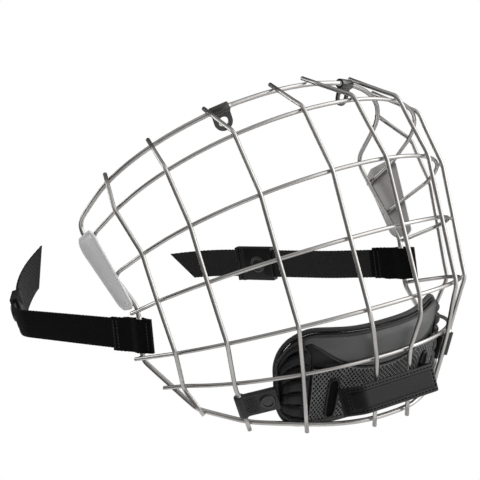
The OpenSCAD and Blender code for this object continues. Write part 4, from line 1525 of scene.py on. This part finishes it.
    def edge_piping(self) -> None:
        """Runs the thick piping round the shell's edge."""
        line = self.outline(0.0)
        points = [self.local(u, v, -self.shell / 2) for u, v in line]
        path = []
        for i, (u, _) in enumerate(line):
            along = points[(i + 1) % len(line)] - points[i - 1]
            out = self.outward(self.wrap * u, points[i].z).cross(along).normalized()
            path.append((points[i] + out * (self.piping / 2 + self.piping_space)) * MM)
        shape = tube(path, self.piping / 2 * MM, closed=True)
        piece(shape, "cup_piping", self.body, "piping", [BINDING], ["chin_cup_piping"], sharp=180)

    def welts(self) -> None:
        """Runs the thin welt inside the piping, and the cord in the seam under the grey panel."""
        inner = [self.point(u, v, self.gap + self.welt_lift) for u, v in self.outline(self.welt_inset)]
        welt = tube(inner, self.welt_radius * MM, closed=True)
        piece(welt, "cup_welt", self.body, "piping", [BINDING], sharp=180)
        seam = []
        for k in range(self.cord_steps + 1):
            u = self.panel_u * (2 * k / self.cord_steps - 1)
            seam.append(self.point(u, self.seam(u) + self.cord_drop, self.gap + self.cord_lift))
        cord = tube(seam, self.cord_radius * MM)
        piece(cord, "cup_seam_cord", self.body, "piping", [BINDING], sharp=180)

    def build(self) -> None:
        """Makes the cup's hard and soft pieces."""
        self.hard_shell()
        self.grey_panel()
        self.net_panel()
        self.wing(Side.RIGHT)
        self.wing(Side.LEFT)
        self.slot(Side.LEFT)
        self.slot(Side.RIGHT)
        self.edge_piping()
        self.welts()


@dataclass
class CupLining:
    """The padded lining inside the cup, which is blown up as cloth and then sewn down along its channels.

    The clearance from the shell and the inset from its skin are in millimetres.
    """

    cup: ChinCup
    voxel: float = 2.2 * MM
    smoothings: int = 6
    pressure: float = 4.0
    frames: int = 20
    most: float = 3 * MM
    clearance: float = 0.3
    inset: float = 8
    channels: tuple[float, ...] = (-0.5, 0.0, 0.5)
    channel_draw: float = 1.1 * MM
    channel_width: float = 0.045

    def even(self, made: bpy.types.Object) -> None:
        """Gives the pad a mesh of even faces, and smooths it.

        Args:
            made: The pad, whose mesh is changed.
        """
        remesh = made.modifiers.new("remesh", "REMESH")
        remesh.mode = "VOXEL"
        remesh.voxel_size = self.voxel
        graph = bpy.context.evaluated_depsgraph_get()
        mesh = bpy.data.meshes.new_from_object(made.evaluated_get(graph))
        made.modifiers.remove(remesh)
        shape = bmesh.new()
        shape.from_mesh(mesh)
        for _ in range(self.smoothings):
            bmesh.ops.smooth_vert(
                shape, verts=shape.verts, factor=0.5, use_axis_x=True, use_axis_y=True, use_axis_z=True
            )
        shape.to_mesh(mesh)
        shape.free()
        made.data = mesh

    def swollen(self, made: bpy.types.Object) -> None:
        """Blows the pad up as cloth, and caps how far each point moves.

        Args:
            made: The pad, whose mesh is changed.
        """
        start = [v.co.copy() for v in made.data.vertices]
        cloth = made.modifiers.new("puff", "CLOTH")
        cloth.settings.use_pressure = True
        cloth.settings.uniform_pressure_force = self.pressure
        cloth.settings.effector_weights.gravity = 0
        scene = bpy.context.scene
        for number in range(1, self.frames + 1):
            scene.frame_set(number)
        graph = bpy.context.evaluated_depsgraph_get()
        blown = made.evaluated_get(graph).to_mesh()
        moved = [v.co.copy() for v in blown.vertices]
        made.evaluated_get(graph).to_mesh_clear()
        made.modifiers.remove(cloth)
        scene.frame_set(1)
        for vert, before, after in zip(made.data.vertices, start, moved):
            step = after - before
            vert.co = before + step * min(1.0, self.most / max(step.length, TINY))

    def share_across(self, at: Vector) -> float:
        """The share of the cup's half width at which a point lies."""
        angle = math.asin(max(-1.0, min(1.0, at.x / MM / (self.cup.half_width - self.inset))))
        return math.degrees(angle) / self.cup.wrap

    def sewn(self, made: bpy.types.Object) -> None:
        """Draws the pad in along its channels, and keeps it behind the shell.

        Args:
            made: The pad, whose mesh is changed.
        """
        cup = self.cup
        made.data.update()
        normals = [v.normal.copy() for v in made.data.vertices]
        for vert, normal in zip(made.data.vertices, normals):
            u = self.share_across(vert.co)
            for line in self.channels:
                near = math.exp(-(((u - line) / self.channel_width) ** 2))
                vert.co -= normal * self.channel_draw * near * max(0.0, normal.y)
            turn = cup.wrap * max(-1.0, min(1.0, u))
            z = vert.co.z / MM
            out = cup.outward(turn, z)
            over = (vert.co / MM - cup.skin(turn, z)).dot(out) + cup.shell + self.clearance
            if over > 0:
                vert.co -= out * over * MM

    def build(self) -> None:
        """Makes the lining from its node."""
        node = "chin_cup_lining"
        made = piece(copy_of(node), "cup_lining_pad", self.cup.body, "lining", [LINING], [node], sharp=180)
        made.parent = None
        self.even(made)
        self.swollen(made)
        self.sewn(made)
        made.data.shade_smooth()
        smooth = made.modifiers.new("rounds", "SUBSURF")
        smooth.levels = 1
        smooth.render_levels = 1
        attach(made, self.cup.body)


# The chin tab and the cup's side straps


@dataclass
class ChinTab:
    """The rubber tab in front of the cup, with a sewn border round a raised field."""

    edge: float = 0.6 * MM
    half_length: float = 26 * MM
    root_x: float = 29 * MM
    bend: float = 4 * MM
    bend_parts: int = 8
    field_start: float = 8.2 * MM
    field_end: float = 39.3 * MM
    field_height: float = 10.2 * MM
    field_rise: float = 0.8 * MM
    field_sink: float = 0.1 * MM
    field_end_roll: float = 0.02
    field_edge_roll: float = 0.1
    grip_start: float = 0.6 * MM
    grip_end: float = 5.6 * MM
    grip_height: float = 14.4 * MM
    grip_lift: float = 0.05 * MM
    grip_across: int = 3
    grip_down: int = 8
    grip_border: float = 0.14
    grip_rise: float = 0.5 * MM
    thread_row: float = 6.4 * MM
    thread_pitch: float = 2.4 * MM
    thread_before: float = 1.3 * MM
    thread_after: float = 0.9 * MM
    thread_end_pitch: float = 2.1 * MM
    thread_length: float = 1.7 * MM
    thread_width: float = 0.85 * MM
    snap_radius: float = 4.5 * MM
    snap_height: float = 1.6 * MM
    snap_sink: float = 0.02 * MM
    body: str = "chin_tab"

    def __post_init__(self) -> None:
        """Finds the tab's outer face from its node."""
        low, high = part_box("front_tab")
        root = joint_of("chin_tab_open")["pos_m"]
        self.front = low.y
        self.middle = (low.z + high.z) / 2
        half = (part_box("front_tab_snap")[0].y - low.y) / 2
        wall = Vector((self.root_x - self.half_length, low.y + half - root[1], 0)).normalized()
        start = Vector((-self.root_x, root[1], 0)) + Vector((wall.y, -wall.x, 0)) * half
        corner = start + wall * ((self.front - start.y) / wall.y)
        before, after = corner - wall * self.bend, corner + Vector((self.bend, 0, 0))
        shares = [k / self.bend_parts for k in range(self.bend_parts + 1)]
        bent = [before.lerp(corner, share).lerp(corner.lerp(after, share), share) for share in shares]
        self.line = [start, *bent, Vector((self.half_length, self.front, 0))]

    def on_face(self, reach: float, high: float, lift: float) -> Vector:
        """A point on the outer face.

        Args:
            reach: The distance along the face from its root.
            high: The height above the face's middle line.
            lift: How far the point stands off the face.

        Returns:
            The point.
        """
        left = reach
        for before, after in zip(self.line, self.line[1:]):
            part = (after - before).length
            if left <= part or after is self.line[-1]:
                break
            left -= part
        along = (after - before).normalized()
        out = Vector((along.y, -along.x, 0))
        return before + along * left + out * lift + Vector((0, 0, self.middle + high))

    def band(self) -> None:
        """Makes the rubber band from its node, with rounded edges."""
        shape = copy_of("front_tab", flat_angle=0.2)
        soften_edges(shape, self.edge, segments=3, angle=60)
        piece(shape, "tab_band", self.body, "tab", [TAB], ["front_tab"], sharp=35)

    def field(self) -> None:
        """Lays the raised field on the face and round its corner."""
        length = self.field_end + self.half_length - self.field_start

        def place(a: float, b: float) -> Vector:
            """The field's point.

            Args:
                a: The share of the way along.
                b: The share of the way up.

            Returns:
                The point.
            """
            rim = min(1.0, min(a, 1 - a) / self.field_end_roll, min(b, 1 - b) / self.field_edge_roll)
            rise = self.field_rise * math.sqrt(1 - (1 - rim) ** 2)
            high = (b - 0.5) * self.field_height
            return self.on_face(self.field_start + length * a, high, rise - self.field_sink)

        shape = sheet_grid(120, 20, place, size=(0.06, 0.01))
        face_outwards(shape, Vector((0, 0, self.middle)))
        piece(shape, "tab_field", self.body, "tab", [TAB_FIELD])

    def grip(self) -> None:
        """Presses small diamonds into the band beside its root."""
        def place(a: float, b: float, lift: float) -> Vector:
            """The grip's point at shares along and up, with its lift."""
            reach = self.grip_start + (self.grip_end - self.grip_start) * a
            return self.on_face(reach, (b - 0.5) * self.grip_height, self.grip_lift + lift)

        shape = net_grid(self.grip_across, self.grip_down, place, self.grip_border, self.grip_rise)
        face_outwards(shape, Vector((0, 0, self.middle)))
        piece(shape, "tab_grip", self.body, "tab", [TAB, TAB])

    def threads(self) -> None:
        """Sews a row of stitches round the field."""
        start = self.field_start - self.thread_before
        end = self.field_end + self.half_length + self.thread_after
        count = int((end - start) / self.thread_pitch)
        spots = []
        for k in range(count + 1):
            reach = start + (end - start) * k / count
            along = self.on_face(reach + 0.1 * MM, 0, 0) - self.on_face(reach, 0, 0)
            out = self.on_face(reach, 0, MM) - self.on_face(reach, 0, 0)
            for high in (-self.thread_row, self.thread_row):
                spots.append((self.on_face(reach, high, 0), along, out))
        for reach in (start, end):
            out = self.on_face(reach, 0, MM) - self.on_face(reach, 0, 0)
            for row in (-2, -1, 0, 1, 2):
                spots.append((self.on_face(reach, row * self.thread_end_pitch, 0), Vector((0, 0, 1)), out))
        shape = stitches(spots, self.thread_length, self.thread_width)
        piece(shape, "tab_stitches", self.body, "tab", [TAB_THREAD], sharp=180)

    def snap(self) -> None:
        """Sets the snap behind the tab's free end."""
        low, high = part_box("front_tab_snap")
        at = Vector(((low.x + high.x) / 2, low.y - self.snap_sink, (low.z + high.z) / 2))
        place = frame_of(at, Vector((1, 0, 0)), Vector((0, 0, -1)), Vector((0, 1, 0)))
        shape = snap_cap(place, self.snap_radius, self.snap_height)
        piece(shape, "tab_snap_cap", self.body, "snap", [SNAP], ["front_tab_snap"])

    def build(self) -> None:
        """Makes the tab's pieces."""
        self.band()
        self.field()
        self.grip()
        self.threads()
        self.snap()


@dataclass
class CupStrap:
    """A rubber strap that ties one end of the cup to a side upright, with raised diamonds.

    Sizes are in millimetres.
    """

    side: Side
    thickness: float = 1.5
    width: float = 14
    length: float = 21
    edge: float = 0.35
    first: float = 2.6
    border: float = 1.0
    diamond_pitch: float = 1.9
    diamond_rows: int = 6
    diamond_border: float = 0.12
    diamond_rise: float = 0.45
    diamond_lift: float = 0.02
    snap_radius: float = 4.5
    snap_height: float = 1.6
    snap_inset: float = 1.5
    snap_space: float = 2.2
    snap_sink: float = 0.02

    def __post_init__(self) -> None:
        """Finds the strap's directions from its joint and its snap."""
        joint = joint_of(f"{self.side.word}_chin_strap_turn")
        self.at = Vector(joint["pos_m"])
        self.up = Vector(joint["axis"]) * self.side.value
        low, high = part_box(f"{self.side.word}_cup_snap")
        towards = (low + high) / 2 - self.at
        flat = towards - self.up * towards.dot(self.up)
        self.snap_reach = self.length - self.snap_radius - self.snap_inset
        rise = self.thickness + self.snap_height * 0.45
        lean = math.atan2(rise, self.snap_reach)
        across = self.up.cross(flat.normalized()) * self.side.value
        self.run = flat.normalized() * math.cos(lean) - across * math.sin(lean)
        self.over = self.up.cross(self.run) * self.side.value
        self.body = f"{self.side.word}_chin_strap"

    def place(self, x: float, y: float, z: float) -> Vector:
        """A point of the mask, from millimetres along the strap, over it and up."""
        return self.at + (self.run * x + self.over * y + self.up * z) * MM

    def band(self) -> None:
        """Makes the strap from its node, with rounded edges."""
        node = f"{self.side.word}_cup_strap"
        shape = copy_of(node)
        soften_edges(shape, self.edge * MM)
        piece(shape, f"{self.side.word}_tie_strap", self.body, "chin_strap", [CHIN_RUBBER], [node], sharp=30)

    def diamonds(self, word: str, face: int, last: float) -> None:
        """Lays raised diamonds on one face.

        Args:
            word: The face's name.
            face: Its side of the strap, as a sign.
            last: How far along the strap the diamonds reach.
        """
        length = last - self.first

        def place(a: float, b: float, lift: float) -> Vector:
            """The face's point at shares along and up, with its lift."""
            z = (b - 0.5) * (self.width - 2 * self.border)
            return self.place(self.first + length * a, face * (self.thickness + self.diamond_lift + lift), z)

        count = max(3, round(length / self.diamond_pitch))
        shape = net_grid(count, self.diamond_rows, place, self.diamond_border, self.diamond_rise)
        bmesh.ops.recalc_face_normals(shape, faces=shape.faces)
        name = f"{self.side.word}_{word}_diamonds"
        piece(shape, name, self.body, "chin_strap", [CHIN_RUBBER, CHIN_RUBBER], sharp=30)

    def snap(self) -> None:
        """Sets the snap at the strap's round end."""
        middle = self.place(self.snap_reach, self.thickness - self.snap_sink, 0)
        stand = frame_of(middle, self.run, -self.up * self.side.value, self.over)
        shape = snap_cap(stand, self.snap_radius * MM, self.snap_height * MM)
        nodes = [f"{self.side.word}_cup_snap"]
        piece(shape, f"{self.side.word}_tie_snap", self.body, "snap", [SNAP], nodes)

    def build(self) -> None:
        """Makes the strap, its diamonds and its snap."""
        self.band()
        self.diamonds("outer", -1, self.length - self.border)
        self.diamonds("inner", 1, self.length - 2 * self.snap_radius - self.snap_space)
        self.snap()


# The studio


@dataclass
class Studio:
    """The camera, the soft lights and the pale floor."""

    turn: float = -32.221
    roll: float = -14.186
    shift_right: float = 28.437 * MM
    shift_down: float = -87.632 * MM
    distance: float = 1031.2 * MM
    focal: float = 1800 / 480
    sensor: float = 36.0
    floor_drop: float = 0.46
    floor_radius: float = 1.0
    heart: Vector = Vector((0, 0.05, -0.1))

    def camera(self) -> None:
        """Sets the camera at the photograph's angle."""
        turn, roll = math.radians(self.turn), math.radians(self.roll)
        forward = Vector((-math.sin(turn), math.cos(turn), 0))
        right = forward.cross(Vector((0, 0, 1))).normalized()
        down = forward.cross(right)
        image_right = right * math.cos(roll) - down * math.sin(roll)
        image_down = right * math.sin(roll) + down * math.cos(roll)
        at = -(image_right * self.shift_right + image_down * self.shift_down + forward * self.distance)
        data = bpy.data.cameras.new("camera")
        data.sensor_width = self.sensor
        data.lens = self.sensor * self.focal
        data.clip_start = 0.05
        data.clip_end = 20
        camera = shown(bpy.data.objects.new("camera", data))
        camera.matrix_world = frame_of(at, image_right, -image_down, -forward)
        bpy.context.scene.camera = camera

    def soft_box(
        self, name: str, at: Sequence[float], size: tuple[float, float], power: float, mirrored: bool = True
    ) -> None:
        """Adds a soft light that faces the mask and that the camera doesn't see.

        Args:
            name: The light's name.
            at: Its place.
            size: Its width and height.
            power: Its power in watts.
            mirrored: True where shiny surfaces mirror it.
        """
        data = bpy.data.lights.new(name, "AREA")
        data.shape = "RECTANGLE"
        data.size, data.size_y = size
        data.energy = power
        light = shown(bpy.data.objects.new(name, data))
        light.location = at
        light.rotation_euler = (self.heart - Vector(at)).to_track_quat("-Z", "Y").to_euler()
        light.visible_camera = False
        light.visible_glossy = mirrored

    def facing(
        self, graph: Graph, way: Sequence[float], low: float, high: float, level: float
    ) -> Socket:
        """A level of light on one side of the room.

        Args:
            graph: The world's tree.
            way: The direction of that side.
            low: How far a direction looks that way where the light starts, as a cosine.
            high: The same where the light is full.
            level: The full level.

        Returns:
            The level in each direction.
        """
        direction = graph.add("ShaderNodeTexCoord").outputs["Generated"]
        share = graph.add("ShaderNodeVectorMath", {0: direction, 1: way}, operation="DOT_PRODUCT").outputs[1]
        return graph.sum("MULTIPLY", graph.spread(share, low, high), level)

    def world(self) -> None:
        """Sets a white backdrop for the camera and a soft grey room for everything else."""
        world = bpy.data.worlds.new("studio")
        world.use_nodes = True
        world.node_tree.nodes.clear()
        graph = Graph(world.node_tree)
        turn = math.radians(self.turn)
        image_right = (math.cos(turn), math.sin(turn), 0)
        behind = (-math.sin(turn), math.cos(turn), 0)
        in_front = (math.sin(turn), -math.cos(turn), 0)
        glow = self.facing(graph, image_right, 0.42, 0.75, level=2.2)
        above = self.facing(graph, (0, 0, 1), 0.3, 0.8, level=0.6)
        ahead = self.facing(graph, in_front, 0.2, 1.0, level=0.22)
        shade = graph.sum("SUBTRACT", 1.0, self.facing(graph, behind, 0.25, 0.7, level=0.75))
        level = graph.sum("ADD", graph.sum("ADD", glow, above), graph.sum("ADD", ahead, 0.06))
        strength = graph.sum("MULTIPLY", level, shade)
        white = (1, 1, 1, 1)
        seen = graph.add("ShaderNodeBackground", {"Color": white, "Strength": 1.0})
        felt = graph.add("ShaderNodeBackground", {"Color": white, "Strength": strength})
        ray = graph.add("ShaderNodeLightPath").outputs["Is Camera Ray"]
        mixed = graph.add("ShaderNodeMixShader", {0: ray, 1: felt.outputs[0], 2: seen.outputs[0]})
        graph.add("ShaderNodeOutputWorld", {"Surface": mixed.outputs[0]})
        bpy.context.scene.world = world

    def floor(self) -> None:
        """Lays the plain pale floor well below the mask."""
        shape = bmesh.new()
        bmesh.ops.create_circle(shape, cap_ends=True, segments=96, radius=self.floor_radius)
        mesh = bpy.data.meshes.new("floor")
        shape.to_mesh(mesh)
        shape.free()
        mesh.materials.append(FLOOR.material())
        made = shown(bpy.data.objects.new("floor", mesh))
        made.location = (0, 0, -self.floor_drop)

    def build(self) -> None:
        """Sets up the camera, the lights, the world and the floor."""
        self.camera()
        self.world()
        self.floor()
        self.soft_box("key_light", (-0.7, -0.9, 0.9), size=(0.5, 0.7), power=6, mirrored=False)
        self.soft_box("top_light", (0.1, 0.3, 1.1), size=(0.9, 0.6), power=6, mirrored=False)
        self.soft_box("side_light", (1.0, -0.5, 0.1), size=(0.25, 0.9), power=2.5)
        self.soft_box("back_light", (-0.5, 1.1, 0.3), size=(0.5, 0.9), power=4)
        bpy.context.scene.view_settings.view_transform = "Standard"


STRAPS = (
    SideStrap(
        Side.RIGHT, lead=78, swing=-19, curl=49, run=42, twist=12,
        tail_turn=43, tail_lift=30, tail_cut=22,
    ),
    SideStrap(
        Side.LEFT, lead=29, swing=30, curl=-8, run=67, twist=0,
        tail_turn=27, tail_lift=0, tail_cut=14,
    ),
)


def main() -> None:
    """Builds the studio and every sub-assembly, and reports each piece."""
    logging.basicConfig(level=logging.INFO, format="%(name)s: %(message)s")
    Studio().build()
    WireCage().build()
    for side in Side:
        SidePlate(side).build()
        TopClip(side).build()
        CupStrap(side).build()
    for strap in STRAPS:
        strap.build()
    cup = ChinCup()
    cup.build()
    CupLining(cup).build()
    ChinTab().build()


if __name__ == "__main__":
    main()
